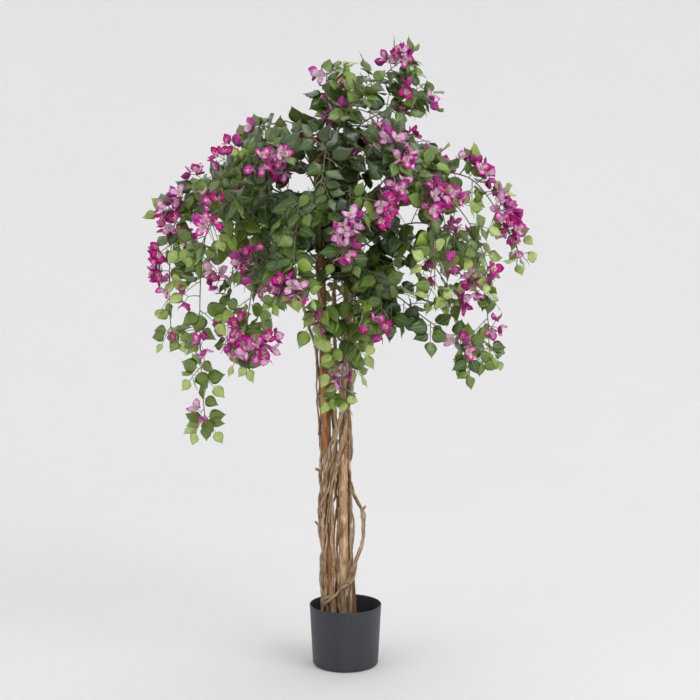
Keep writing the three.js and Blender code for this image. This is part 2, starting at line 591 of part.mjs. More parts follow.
  // twigs to either side of the stem by turns, each with a leaf at its tip and one on each side
  growTwigs() {
    const count = Math.round(this.length * (1 - TWIG.first) / TWIG.every);
    for (let k = 0; k < count; k++) {
      const share = TWIG.first + (TWIG.last - TWIG.first) * (k + 0.5) / count;
      const root = this.pointAt(share);
      const reach = TWIG.length * (1.15 - 0.4 * share) * (0.85 + 0.3 * chance(this.index, TWIG_KEY, k));
      const side = 180 * ((this.index + k) % 2) + 40 * (chance(this.index, TWIG_KEY, k, 1) - 0.2);
      const heading = this.sideAt(share, side)
        .addScaledVector(this.curve.getTangent(share), 0.6)
        .addScaledVector(UP, -TWIG.droop)
        .normalize();
      this.addTwig(root, heading, reach, mix(...LEAF.length, 0.4 + 0.6 * share), [TWIG_KEY, k]);
    }
  }

  addTwig(root, heading, reach, leafSize, keys) {
    const end = root.clone().addScaledVector(heading, reach);
    const spots = [0.2, 0.4, 0.6, 0.8, 1].map((part) => root.clone().lerp(end, part));
    if (!spots.every((spot) => this.isFree(spot)) || !this.isUncrowded(end, TWIG.apart)) return;
    this.limbs.push({ points: [root, end], radii: TWIG.radius, sides: TWIG.sides });
    const across = squared(this.facingAt(end), heading).cross(heading);
    [0, -1, 1].forEach((which) => {
      const from = root.clone().lerp(end, which === 0 ? 0.97 : 0.7 + 0.12 * which);
      const along = heading.clone().multiplyScalar(which === 0 ? 1 : 0.4)
        .addScaledVector(across, which)
        .addScaledVector(UP, -0.15);
      this.addLeaf(from, along, leafSize, [...keys, which + 2]);
    });
  }

  grow() {
    this.growStem();
    this.growBlooms();
    this.growLeaves();
    this.growTwigs();
    return this;
  }

  // all joined, and cut clear of the wood that it is rooted in
  solid() {
    const wood = this.strands.find((strand) => strand.name === this.wood);
    return wasm.Manifold.union([
      ...this.limbs.map(({ points, radii, sides }) => solidOf(limb(points, radii, sides))),
      ...this.blades.map(solidOf),
    ]).subtract(strandSolid(wood, CLEARANCE));
  }
}

// True if a point is nearer to its own spray's leafy stem than to any other's, by the margin, and clear of
// the others' bare stems.
function inOwnSpace(point, index, stems) {
  const own = distanceToLine(point, stems[index].leafy);
  return stems.every((stem, other) => other === index
    || (distanceToLine(point, stem.leafy) > own + SPACE_MARGIN
      && distanceToLine(point, stem.bare) > STEM.radius[0] + WOOD_MARGIN));
}

function distanceToLine(point, line) {
  const nearest = new THREE.Vector3();
  return Math.min(...line.map((segment) => {
    segment.closestPointToPoint(point, true, nearest);
    return nearest.distanceTo(point);
  }));
}

// True if a point is clear of every pole and vine at its own height.
function clearOfWood(point, strands) {
  return strands.every((strand) => {
    const level = Math.round((point.z - woodFoot) / LEVEL);
    const last = strand.places.length - 1;
    if (level < 0 || level > last + 1) return true;
    const [x, y] = strand.places[Math.min(level, last)];
    return Math.hypot(point.x - x, point.y - y) > strand.radii[Math.min(level, last)] + WOOD_MARGIN;
  });
}

// Each stem's curve and length, and its bare start and leafy rest as short straight pieces.
function layStems(strands) {
  return SPRAYS.map((spray) => {
    const curve = stemCurve(spray, strands);
    const length = curve.getLength();
    const spots = curve.getPoints(STEM_PIECES);
    const pieces = spots.slice(1).map((spot, i) => new THREE.Line3(spots[i], spot));
    const bareCount = Math.round(STEM_PIECES * Math.min(BARE.length / length, BARE.share));
    return { curve, length, bare: pieces.slice(0, bareCount), leafy: pieces.slice(bareCount) };
  });
}

// ---------------------------------------------------------------- the tree
const strands = layWood();
const stems = layStems(strands);
const tree = new THREE.Group();
tree.add(named('pot', pot(), MATERIALS.pot));
tree.add(named('fill', geometryOf(fill(strands)), MATERIALS.fill));
for (const strand of strands) {
  const material = strand.fixed ? MATERIALS.pole : MATERIALS.vine;
  tree.add(named(strand.name, geometryOf(strandSolid(strand)), material));
}
SPRAYS.forEach(({ name }, index) => {
  const spray = new Spray(index, stems, strands).grow();
  tree.add(named(name, geometryOf(spray.solid()), MATERIALS.foliage));
});

export default tree;
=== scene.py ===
"""Looks of the artificial bougainvillea tree: bark on its poles and vines, leaves, bracts, pot and cement.

The foliage grows by the solids' own rule (see Spray) from nearly the same table of sprays, with the blooms
set out anew, more leaves, of their real size, and finer twigs. Twigs that bear leaves only, shoots inside the
crown, thin climbers on the poles, and the openings and hollows that no leaf stands in, are made here alone.
Lengths are in millimetres up to the meshes themselves, which put() scales to metres.
"""

import itertools
import math

import bpy
import numpy as np
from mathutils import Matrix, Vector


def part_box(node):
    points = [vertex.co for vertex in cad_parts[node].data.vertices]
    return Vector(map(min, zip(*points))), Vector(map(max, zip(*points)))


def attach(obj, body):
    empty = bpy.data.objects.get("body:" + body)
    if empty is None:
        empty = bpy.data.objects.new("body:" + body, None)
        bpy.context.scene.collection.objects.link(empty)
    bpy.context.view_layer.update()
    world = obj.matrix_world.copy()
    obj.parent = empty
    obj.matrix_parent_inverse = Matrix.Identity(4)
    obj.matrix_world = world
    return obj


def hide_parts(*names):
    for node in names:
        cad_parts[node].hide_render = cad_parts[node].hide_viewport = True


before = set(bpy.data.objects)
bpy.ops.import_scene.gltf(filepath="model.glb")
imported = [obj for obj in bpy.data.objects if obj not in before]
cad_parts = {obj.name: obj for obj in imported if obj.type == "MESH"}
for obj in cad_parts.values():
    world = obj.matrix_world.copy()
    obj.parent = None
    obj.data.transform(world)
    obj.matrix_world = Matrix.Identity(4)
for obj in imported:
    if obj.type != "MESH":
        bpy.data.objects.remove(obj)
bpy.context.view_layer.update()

MM = 0.001
UP = np.array([0.0, 0.0, 1.0])
CENTRE = np.array([-25.0, 0.0, 0.0])  # where the foliage's middle stands
OUT_RISE = 110  # against its reach from CENTRE, how far above the horizontal a leaf's face looks

# Each spray is rooted on a pole or vine at a height, or on its tip where root is None. Half way along, it
# rounds its shoulder, and it ends at its tip, both given as (azimuth in degrees, reach from CENTRE, height).
# Turn is how far its leaves face to one side of straight out, in degrees. Blooms are (share of the stem's
# length, number of flowers, side in degrees round the stem, length of their twig), and with no flowers the
# twig bears leaves.
#   name, wood, root, turn, shoulder, tip, blooms
SPRAYS = (
    ("spray_top", "pole_left", 1208, -50, (16, 80, 1374), (10, 168, 1450),
        ((0.66, 0, 180, 66), (0.8, 0, 170, 56), (0.82, 3, 20, 14), (0.93, 3, 60, 12), (0.94, 4, 90, 12))),
    ("spray_top_right", "pole_left", 1196, -50, (-6, 122, 1336), (-2, 206, 1350),
        ((0.5, 0, 10, 56), (0.75, 0, 20, 46), (0.9, 0, 30, 44), (0.62, 1, 150, 14), (0.7, 2, 60, 12),
         (0.97, 2, 90, 12))),
    ("spray_top_left", "pole_left", 1184, 0, (-118, 44, 1322), (-112, 46, 1412),
        ((0.85, 0, 175, 56), (0.97, 0, 180, 50), (0.94, 2, 40, 14))),
    ("spray_top_front", "pole_left", 1172, 0, (-76, 84, 1298), (-62, 138, 1362),
        ((0.45, 1, 30, 20), (0.55, 2, 70, 12))),
    ("spray_top_back", "pole_left", 1196, 0, (94, 84, 1342), (82, 165, 1392),
        ((0.6, 3, 60, 14), (0.85, 4, 90, 12), (0.95, 2, 150, 14))),
    ("spray_high_left", "pole_left", 1148, 50, (180, 112, 1286), (186, 196, 1262),
        ((0.75, 0, 170, 44), (0.95, 0, 150, 40), (0.26, 2, 100, 14), (0.88, 2, 150, 16))),
    ("spray_high_left_front", "pole_left", 1124, 0, (-128, 205, 1232), (-137, 340, 1164),
        ((0.42, 0, 175, 62), (0.4, 4, -30, 50), (0.55, 5, -30, 44), (0.72, 4, -10, 40), (0.8, 2, 160, 38),
         (0.9, 4, 165, 26))),
    ("spray_far_left", "pole_left", 1088, 60, (191, 328, 1142), (194, 388, 808),
        ((0.42, 4, 150, 34), (0.56, 3, 120, 12), (0.65, 4, 150, 20), (0.68, 2, 20, 26),
         (0.7, 4, 90, 12), (0.79, 4, 145, 22), (0.84, 6, 140, 16), (0.88, 2, 60, 14))),
    ("spray_low_left", "pole_left", 1016, 45, (208, 300, 1084), (214, 348, 606),
        ((0.9, 0, 180, 34), (0.7, 2, 10, 62), (0.76, 2, 170, 26), (0.83, 1, 175, 42), (0.86, 3, 40, 20),
         (0.97, 2, 110, 12))),
    ("spray_low_left_front", "vine_left_high", None, 0, (-124, 265, 992), (-125, 345, 776),
        ((0.52, 3, 150, 20), (0.6, 3, 140, 38), (0.62, 2, 150, 20), (0.76, 2, 20, 24), (0.5, 0, 5, 92),
         (0.9, 4, 130, 14), (0.93, 4, 0, 94), (0.9, 3, 0, 96), (0.95, 5, 10, 50), (0.96, 5, 90, 12))),
    ("spray_mid_left", "pole_left", 1040, 0, (-134, 268, 1128), (-138, 388, 1016),
        ((0.36, 3, 170, 52), (0.62, 3, 170, 56), (0.76, 4, 140, 18), (0.88, 4, 40, 24))),
    ("spray_front_left", "pole_left", 992, 0, (-106, 245, 1122), (-105, 346, 932),
        ((0.94, 0, 30, 84), (0.97, 0, 60, 62), (0.99, 0, 125, 74), (0.98, 0, 180, 60), (0.9, 0, 175, 74),
         (0.98, 4, 140, 18), (0.99, 5, 90, 14), (0.99, 4, 20, 24), (0.97, 1, 30, 40))),
    ("spray_high_front", "pole_left", 1076, 0, (-94, 190, 1214), (-95, 306, 1150),
        ((0.55, 0, 170, 50),)),
    ("spray_front", "pole_right", 1052, 0, (-80, 225, 1150), (-86, 346, 1004),
        ((0.72, 4, 10, 72), (0.8, 3, 10, 72), (0.86, 3, 60, 12), (0.92, 5, 120, 12), (0.98, 4, 90, 10))),
    ("spray_trunk", "pole_left", 944, 0, (-78, 120, 900), (-84, 104, 676),
        ((0.45, 0, 175, 96), (0.5, 0, 180, 112), (0.62, 0, 175, 60), (0.5, 0, 0, 60), (0.62, 0, 0, 70),
         (0.74, 0, 10, 60), (0.85, 0, 0, 50), (0.72, 0, 150, 58), (0.84, 0, 165, 50),
         (0.68, 2, 170, 58), (0.94, 4, 90, 10))),
    ("spray_low_front_right", "vine_front_inner", None, 0, (-61, 180, 962), (-64, 240, 826),
        ((0.97, 2, 90, 10), (0.96, 2, 170, 40))),
    ("spray_low_right", "vine_front_cross", None, -50, (-37, 205, 885), (-25, 344, 758),
        ((0.5, 0, 180, 44), (0.7, 0, 175, 38), (0.88, 2, 90, 8), (0.93, 2, 110, 10))),
    ("spray_hang_right", "pole_right", 992, -45, (-14, 280, 1050), (-14, 370, 768),
        ((0.6, 1, 40, 20), (0.72, 3, 170, 66), (0.76, 2, 170, 64), (0.8, 2, 160, 24), (0.93, 3, 90, 12))),
    ("spray_far_right", "pole_right", 1084, -55, (-2, 275, 1188), (-4, 438, 985),
        ((0.54, 3, 30, 32), (0.6, 4, 40, 30), (0.66, 3, 30, 26), (0.74, 2, 40, 16), (0.8, 4, 50, 14),
         (0.82, 4, 110, 14), (0.84, 4, 50, 18), (0.86, 2, 160, 28), (0.88, 3, 50, 12), (0.9, 5, 130, 14),
         (0.95, 2, 150, 18))),
    ("spray_front_right", "pole_right", 1064, 0, (-51, 270, 1180), (-54, 372, 922),
        ((0.6, 5, 190, 60), (0.66, 4, 20, 26), (0.71, 8, 60, 18), (0.77, 3, 120, 14), (0.93, 2, 20, 24))),
    ("spray_mid_right", "pole_right", 1024, 0, (-31, 262, 1134), (-30, 398, 958),
        ((0.64, 4, 130, 20), (0.98, 2, 90, 8))),
    ("spray_high_right", "pole_left", 1136, 0, (-22, 150, 1244), (-22, 256, 1186),
        ((0.3, 2, 90, 20),)),
    ("spray_high_right_front", "pole_right", 1094, 0, (-62, 205, 1250), (-57, 306, 1176),
        ((0.6, 4, 140, 12), (0.76, 3, 150, 14), (0.92, 4, 120, 12))),
    ("spray_crown_right", "pole_left", 1160, -40, (-4, 110, 1258), (-6, 186, 1268),
        ((0.62, 1, 170, 12),)),
    ("spray_crown_front", "pole_left", 1100, 0, (-84, 70, 1192), (-88, 128, 1232), ()),
    ("spray_crown_back", "pole_back", 1124, 0, (82, 92, 1204), (88, 140, 1256),
        ((0.9, 2, 0, 12),)),
    ("spray_under_left", "pole_left", 968, 40, (176, 120, 1010), (182, 214, 934),
        ((0.9, 2, 0, 12),)),
    ("spray_under_right", "pole_right", 956, -40, (4, 130, 1006), (2, 222, 912),
        ((0.9, 2, 0, 12),)),
    ("spray_back_left", "pole_left", 1064, -30, (148, 290, 1164), (156, 400, 952),
        ((0.5, 3, 90, 14), (0.62, 5, 60, 24), (0.75, 3, 150, 16), (0.9, 5, 90, 12))),
    ("spray_back_high_left", "pole_left", 1112, 0, (122, 190, 1262), (128, 310, 1190),
        ((0.6, 3, 30, 24), (0.8, 5, 90, 12), (0.95, 3, 150, 14))),
    ("spray_back_high_right", "pole_back", 1112, 0, (36, 190, 1258), (30, 310, 1186),
        ((0.6, 4, 90, 12), (0.84, 2, 90, 10), (0.96, 4, 60, 14))),
    ("spray_back", "pole_back", 1088, 0, (92, 220, 1192), (86, 356, 1030),
        ((0.5, 3, 40, 30), (0.65, 5, 90, 12), (0.8, 3, 150, 24), (0.94, 6, 90, 12))),
    ("spray_back_right", "pole_back", 1052, 30, (38, 290, 1158), (42, 384, 896),
        ((0.5, 4, 90, 14), (0.62, 5, 40, 26), (0.78, 3, 140, 16), (0.9, 6, 90, 12))),
    ("spray_back_mid_left", "pole_left", 1032, 0, (114, 245, 1110), (114, 350, 900),
        ((0.6, 3, 90, 14), (0.8, 4, 150, 24), (0.94, 6, 90, 12))),
    ("spray_back_low_left", "vine_back_wind", None, 0, (150, 245, 1030), (146, 330, 760),
        ((0.6, 3, 90, 14), (0.78, 4, 40, 30), (0.94, 4, 90, 12))),
    ("spray_back_low", "vine_back_cross", None, 0, (70, 200, 990), (74, 300, 780),
        ((0.7, 3, 60, 20), (0.88, 5, 90, 12))),
    ("spray_back_low_right", "vine_right_bow", None, 0, (24, 240, 990), (18, 330, 730),
        ((0.64, 3, 120, 24), (0.8, 5, 90, 12))),
)
# How much younger and paler, or older and darker if negative, than usual a spray's leaves look: partly the
# leaves' own age, and partly painted shade, as the darker greens on the sprays at the front of the crown's
# middle stand in for the shade in that recess.
YOUTH_AND_PAINTED_SHADE = {
    "spray_low_left": 0.18, "spray_far_left": 0.15, "spray_low_left_front": 0.05,
    "spray_front_left": -0.1, "spray_far_right": 0.3, "spray_hang_right": 0.12, "spray_low_right": -0.22,
    "spray_low_front_right": 0.05, "spray_trunk": 0.2, "spray_front": -0.4, "spray_high_front": -0.45,
    "spray_crown_front": -0.5, "spray_high_right": -0.2, "spray_high_right_front": -0.3,
    "spray_front_right": 0.15, "spray_top_front": -0.2, "spray_crown_right": -0.3, "spray_mid_right": 0.12,
    "spray_top": -0.1, "spray_top_right": -0.1, "spray_high_left_front": -0.15, "spray_under_right": 0.18,
    "spray_back_low_right": 0.25, "spray_back_right": 0.2,
}
EYE = (11, -3200, 1050)  # the viewer's place, where the camera stands
# Openings where the sky shows through or beside the foliage: across and height where the viewer's line of
# sight meets the plane of the poles, and how far from that line every leaf's middle stays.
OPENINGS = (
    (-90, 1445, 24), (-115, 1370, 28), (195, 1285, 44), (60, 1305, 18), (340, 1245, 26),
    (-100, 1160, 30), (-125, 1175, 22), (150, 1090, 32), (175, 1070, 20),
    (260, 1180, 24), (285, 1165, 26), (270, 1075, 36), (245, 1055, 26), (340, 1100, 26),
    (-330, 1055, 42), (-300, 960, 26), (-340, 895, 42), (-255, 905, 26),
    (-455, 890, 36), (-455, 945, 34), (-300, 750, 26),
    (145, 940, 22), (210, 945, 24), (210, 905, 22), (135, 870, 20), (190, 840, 20), (300, 845, 22),
    (390, 920, 36), (440, 940, 26), (105, 755, 44),
)
# Hollows in the front of the foliage, as balls that no leaf's middle stands in: across, how far in front of
# the poles' plane, height and radius.
HOLLOWS = (
    (-45, 190, 1165, 88), (45, 195, 1152, 94), (115, 175, 1140, 58), (20, 105, 1130, 66), (-30, 160, 930, 60),
)
POLES = ("pole_left", "pole_right", "pole_back")
VINES = (
    "vine_left_bow", "vine_left_slim", "vine_left_high", "vine_right_bow", "vine_right_inner",
    "vine_front_cross", "vine_front_inner", "vine_back_wind", "vine_back_cross",
)
# Sawn-off side shoots: vine, height, direction and rise in degrees, length, radius.
STUBS = (
    ("vine_left_bow", 336, 176, 50, 17, 2.6),
    ("vine_right_bow", 372, 4, 58, 15, 3.0),
    ("vine_front_cross", 650, -16, 30, 17, 3.4),
    ("vine_left_high", 470, 188, 25, 14, 3.6),
    ("vine_front_inner", 172, 205, -14, 30, 3.2),
    ("vine_back_wind", 520, 80, 40, 18, 3.2),
)
POT = {
    "rim": 87,  # radius
    "foot": 79.5,  # radius
    "height": 148,
    "wall": 2.4,
    "floor": 4.0,  # height that its inside starts at
    "edge": 7,  # rounding of its foot
    "ring": (0.86, 0.89),  # shares of foot: where its raised middle ends, and the ring it stands on starts
    "raised": 2.2,  # how far the middle of its underside is raised
    "levels": (30, 60, 90, 120),  # heights of points on its wall
}
FILL_TOP = 92
WOOD_FOOT = 68  # the height where the poles and vines stand in the cement
LEVEL = 12  # height step that a spray's root is rounded to


# ---------------------------------------------------------------- arithmetic
HASH = {"start": 0x9E3779B9, "range": 2**32, "steps": ((0x85EBCA6B, 13), (0xC2B2AE35, 16))}
NOISE = {"mix": (12.9898, 78.233, 37.719), "spread": 43758.5453}


def chance(*keys):
    """A number from 0 to 1 that the same whole numbers always give: each is mixed in, times a large odd
    number and then shifted onto itself, twice over."""
    mixed = HASH["start"]
    for key in keys:
        mixed ^= key
        for factor, shift in HASH["steps"]:
            mixed = mixed * factor % HASH["range"]
            mixed ^= mixed >> shift
    return mixed / HASH["range"]


def mix(low, high, share):
    return low + (high - low) * share


def unit(vectors):
    return vectors / np.maximum(np.linalg.norm(vectors, axis=-1, keepdims=True), 1e-9)


def squared(vectors, along):
    """The part of each vector that is square to along, a unit vector, made one long."""
    return unit(vectors - along * np.sum(vectors * along, axis=-1, keepdims=True))


def compass(azimuth, rise=0.0):
    """The unit vector at an azimuth and a rise above the horizontal, both in degrees."""
    a, r = math.radians(azimuth), math.radians(rise)
    return np.array([math.cos(a) * math.cos(r), math.sin(a) * math.cos(r), math.sin(r)])


def around(azimuth, reach, height):
    """The point at an azimuth and a reach from CENTRE's axis, at a height."""
    return CENTRE + reach * compass(azimuth) + height * UP


def bezier(start, bend, end, share):
    """A quadratic curve: (1-s)^2 start + 2(1-s)s bend + s^2 end, at each share s."""
    s = np.asarray(share, float)[..., None]
    return (1 - s) ** 2 * start + 2 * (1 - s) * s * bend + s**2 * end


def noise(points, seed):
    """Smooth noise from -1 to 1: a hashed value at every whole-number corner, blended by 3t^2-2t^3."""
    cell = np.floor(points)
    part = points - cell
    part = part * part * (3 - 2 * part)
    total = 0.0
    for corner in itertools.product((0, 1), repeat=3):
        value = np.sin((cell + corner) @ np.array(NOISE["mix"]) + seed) * NOISE["spread"]
        weight = np.prod(np.where(corner, part, 1 - part), axis=-1)
        total = total + weight * (value - np.floor(value))
    return 2 * total - 1


# ---------------------------------------------------------------- wood, read from the frame
def sections(name, heights):
    """Centres and radii of a CAD node cut level at each height: the mean of where its edges cross the level,
    and the furthest crossing from it."""
    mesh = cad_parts[name].data
    corners = np.empty(len(mesh.vertices) * 3)
    mesh.vertices.foreach_get("co", corners)
    edges = np.empty(len(mesh.edges) * 2, int)
    mesh.edges.foreach_get("vertices", edges)
    ends = corners.reshape(-1, 3)[edges.reshape(-1, 2)] / MM
    low, high = ends[:, 0], ends[:, 1]
    centres, radii = [], []
    for height in heights:
        crossing = (low[:, 2] - height) * (high[:, 2] - height) < 0
        a, b = low[crossing], high[crossing]
        spots = a + (b - a) * ((height - a[:, 2]) / (b[:, 2] - a[:, 2]))[:, None]
        centres.append(spots.mean(axis=0))
        radii.append(np.linalg.norm(spots - centres[-1], axis=1).max())
    return np.array(centres), np.array(radii)


class Wood:
    """A pole's or vine's middle line and radius, smoothed through level sections of its CAD node."""

    EVERY = 18  # from section to section
    SOFT = 12  # how far the soft average reaches up and down

    def __init__(self, name):
        low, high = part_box(name)
        self.foot, self.top = low.z / MM, high.z / MM
        heights = np.linspace(self.foot + 1, self.top - 3, round((self.top - self.foot) / self.EVERY))
        for vine, at, _, _, length, _ in STUBS:
            if vine == name:
                heights = heights[np.abs(heights - at - length / 2) > length]
        self.centres, self.radii = sections(name, heights)
        self.heights = heights

    def at(self, heights):
        """Points of the middle line: each of x and y is a soft average of the line between sections."""
        line = 0
        for offset, weight in ((-self.SOFT, 0.25), (0, 0.5), (self.SOFT, 0.25)):
            z = np.asarray(heights, float) + offset
            flat = [np.interp(z, self.heights, self.centres[:, axis]) for axis in (0, 1)]
            line = line + weight * np.stack([*flat, z], axis=-1)
        return line

    def radius(self, heights):
        return np.interp(heights, self.heights, self.radii)


WOOD = {name: Wood(name) for name in POLES + VINES}


def clear_of_wood(points, margin):
    """True if every point stays outside all poles and vines by a margin."""
    points = np.atleast_2d(points)
    for wood in WOOD.values():
        beside = (points[:, 2] > wood.foot) & (points[:, 2] < wood.top + margin)
        away = np.linalg.norm((points - wood.at(points[:, 2]))[:, :2], axis=1)
        if np.any(beside & (away < wood.radius(points[:, 2]) + margin)):
            return False
    return True


# ---------------------------------------------------------------- meshes
def put(name, points, faces, materials, slots=None, finish=None, **attributes):
    """One smooth-shaded object at the origin, from points in millimetres and arrays of three- or
    four-cornered faces. slots holds an array of material numbers for each array of faces, any finish but
    none, as for the studio, hangs the piece from the root body, and attributes have one vector a point."""
    mesh = bpy.data.meshes.new(name)
    corners = np.concatenate([part.ravel() for part in faces]).astype(np.int32)
    sizes = np.concatenate([np.full(len(part), part.shape[1]) for part in faces]).astype(np.int32)
    mesh.vertices.add(len(points))
    mesh.vertices.foreach_set("co", (points * MM).ravel().astype(np.float32))
    mesh.loops.add(len(corners))
    mesh.loops.foreach_set("vertex_index", corners)
    mesh.polygons.add(len(sizes))
    mesh.polygons.foreach_set("loop_start", (np.cumsum(sizes) - sizes).astype(np.int32))
    mesh.polygons.foreach_set("loop_total", sizes)
    mesh.polygons.foreach_set("use_smooth", np.ones(len(sizes), bool))
    for material in materials:
        mesh.materials.append(material)
    if slots is not None:
        mesh.polygons.foreach_set("material_index", np.concatenate(slots).astype(np.int32))
    for key, values in attributes.items():
        layer = mesh.attributes.new(key, "FLOAT_VECTOR", "POINT")
        layer.data.foreach_set("vector", np.ascontiguousarray(values, np.float32).ravel())
    mesh.update(calc_edges=True)
    mesh.validate()
    piece = bpy.data.objects.new(name, mesh)
    bpy.context.scene.collection.objects.link(piece)
    if finish is None:
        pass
    else:
        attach(piece, "root")
    return piece


def dress(name, surface, material, finish, *nodes):
    """A surface of one material, as points, faces and its grain if it has one, in place of the CAD nodes."""
    points, faces, *grain = surface
    piece = put(name, points, faces, [material], None, finish, **dict(zip(("grain",), grain)))
    if nodes:
        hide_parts(*nodes)


def repeated(faces, count, stride):
    """A template's faces for each of count copies, whose points follow each other by stride."""
    return (faces[None] + stride * np.arange(count)[:, None, None]).reshape(-1, faces.shape[1])


def lathe(profile, segments=96):
    """A closed profile of (radius, height) pairs, on the axis at both ends, turned about Z: x = r cos a,
    y = r sin a. The two end points are single points."""
    profile = np.array(profile, float)
    turn = np.linspace(0, 2 * np.pi, segments, endpoint=False)
    ring = np.stack([np.cos(turn), np.sin(turn)], axis=-1)
    inner = profile[1:-1]
    rings = np.concatenate([
        inner[:, None, :1] * ring[None],
        np.broadcast_to(inner[:, None, 1:], (len(inner), segments, 1)),
    ], axis=-1).reshape(-1, 3)
    ends = np.array([[0, 0, profile[0, 1]], [0, 0, profile[-1, 1]]])
    return np.concatenate([rings, ends]), tube_faces(len(inner), segments)


def tube_faces(rings, sides):
    """Faces of rings of points, each ring numbered in turn, with a point after them for each end."""
    row, column = np.meshgrid(np.arange(rings - 1), np.arange(sides), indexing="ij")
    after = (column + 1) % sides
    walls = np.stack([row * sides + column, row * sides + after,
                      (row + 1) * sides + after, (row + 1) * sides + column], axis=-1).reshape(-1, 4)
    j = np.arange(sides)
    k = (j + 1) % sides
    first, last = rings * sides, (rings - 1) * sides
    foot = np.stack([np.full(sides, first), k, j], axis=-1)
    head = np.stack([np.full(sides, first + 1), last + j, last + k], axis=-1)
    return walls, np.concatenate([foot, head])


START_SIDE = np.array([0.31, 0.95, 0.04])  # a direction that no limb starts in
GRAIN_STEP = 37.0  # how far each limb's bark is moved on from the last one's, so that no two are alike


def frames_along(paths):
    """The tangent and two directions square to it at every point of many paths. The first is carried along
    each path without twisting."""
    tangents = unit(np.gradient(paths, axis=1))
    normal = squared(np.cross(tangents[:, 0], START_SIDE), tangents[:, 0])
    normals = []
    for step in range(paths.shape[1]):
        normal = squared(normal, tangents[:, step])
        normals.append(normal)
    normals = np.stack(normals, axis=1)
    return tangents, normals, np.cross(tangents, normals)


def tubes(paths, radii, sides):
    """Round limbs along many paths: point = path + r (cos a normal + sin a across), r for each path, step and
    side. Also gives each point's place in the straightened limb, (r cos a, r sin a, length so far)."""
    count, steps, _ = paths.shape
    _, normals, across = frames_along(paths)
    angles = 2 * np.pi * np.arange(sides) / sides
    radii = np.broadcast_to(np.asarray(radii, float).reshape(count, steps, -1), (count, steps, sides))
    x, y = radii * np.cos(angles), radii * np.sin(angles)
    rings = paths[:, :, None] + x[..., None] * normals[:, :, None] + y[..., None] * across[:, :, None]
    points = np.concatenate([rings.reshape(count, -1, 3), paths[:, :1], paths[:, -1:]], axis=1)
    run = np.linalg.norm(np.diff(paths, axis=1, prepend=paths[:, :1]), axis=-1).cumsum(axis=1)
    run = run + GRAIN_STEP * np.arange(count)[:, None]
    straight = np.stack([x, y, np.broadcast_to(run[..., None], x.shape)], axis=-1).reshape(count, -1, 3)
    zero = np.zeros((count, 1))
    ends = [np.stack([zero, zero, run[:, step, None]], axis=-1) for step in (0, -1)]
    grain = np.concatenate([straight, *ends], axis=1)
    stride = points.shape[1]
    faces = [repeated(part, count, stride) for part in tube_faces(steps, sides)]
    return points.reshape(-1, 3), faces, grain.reshape(-1, 3)


def joined(parts):
    """Several (points, faces, grain) as one."""
    points, walls, ends, grain, total = [], [], [], [], 0
    for part_points, (part_walls, part_ends), part_grain in parts:
        points.append(part_points)
        walls.append(part_walls + total)
        ends.append(part_ends + total)
        grain.append(part_grain)
        total += len(part_points)
    return np.concatenate(points), [np.concatenate(walls), np.concatenate(ends)], np.concatenate(grain)


# ---------------------------------------------------------------- finishes
def srgb(red, green, blue):
    """A screen colour of 0 to 255 as the light values that a shader takes: c / 12.92 near black, and
    otherwise ((c + 0.055) / 1.055) ^ 2.4, with c from 0 to 1."""
    shares = [part / 255 for part in (red, green, blue)]
    return [c / 12.92 if c <= 0.04045 else ((c + 0.055) / 1.055) ** 2.4 for c in shares]


def shaded(colour, share):
    return tuple(min(255, part * share) for part in colour)


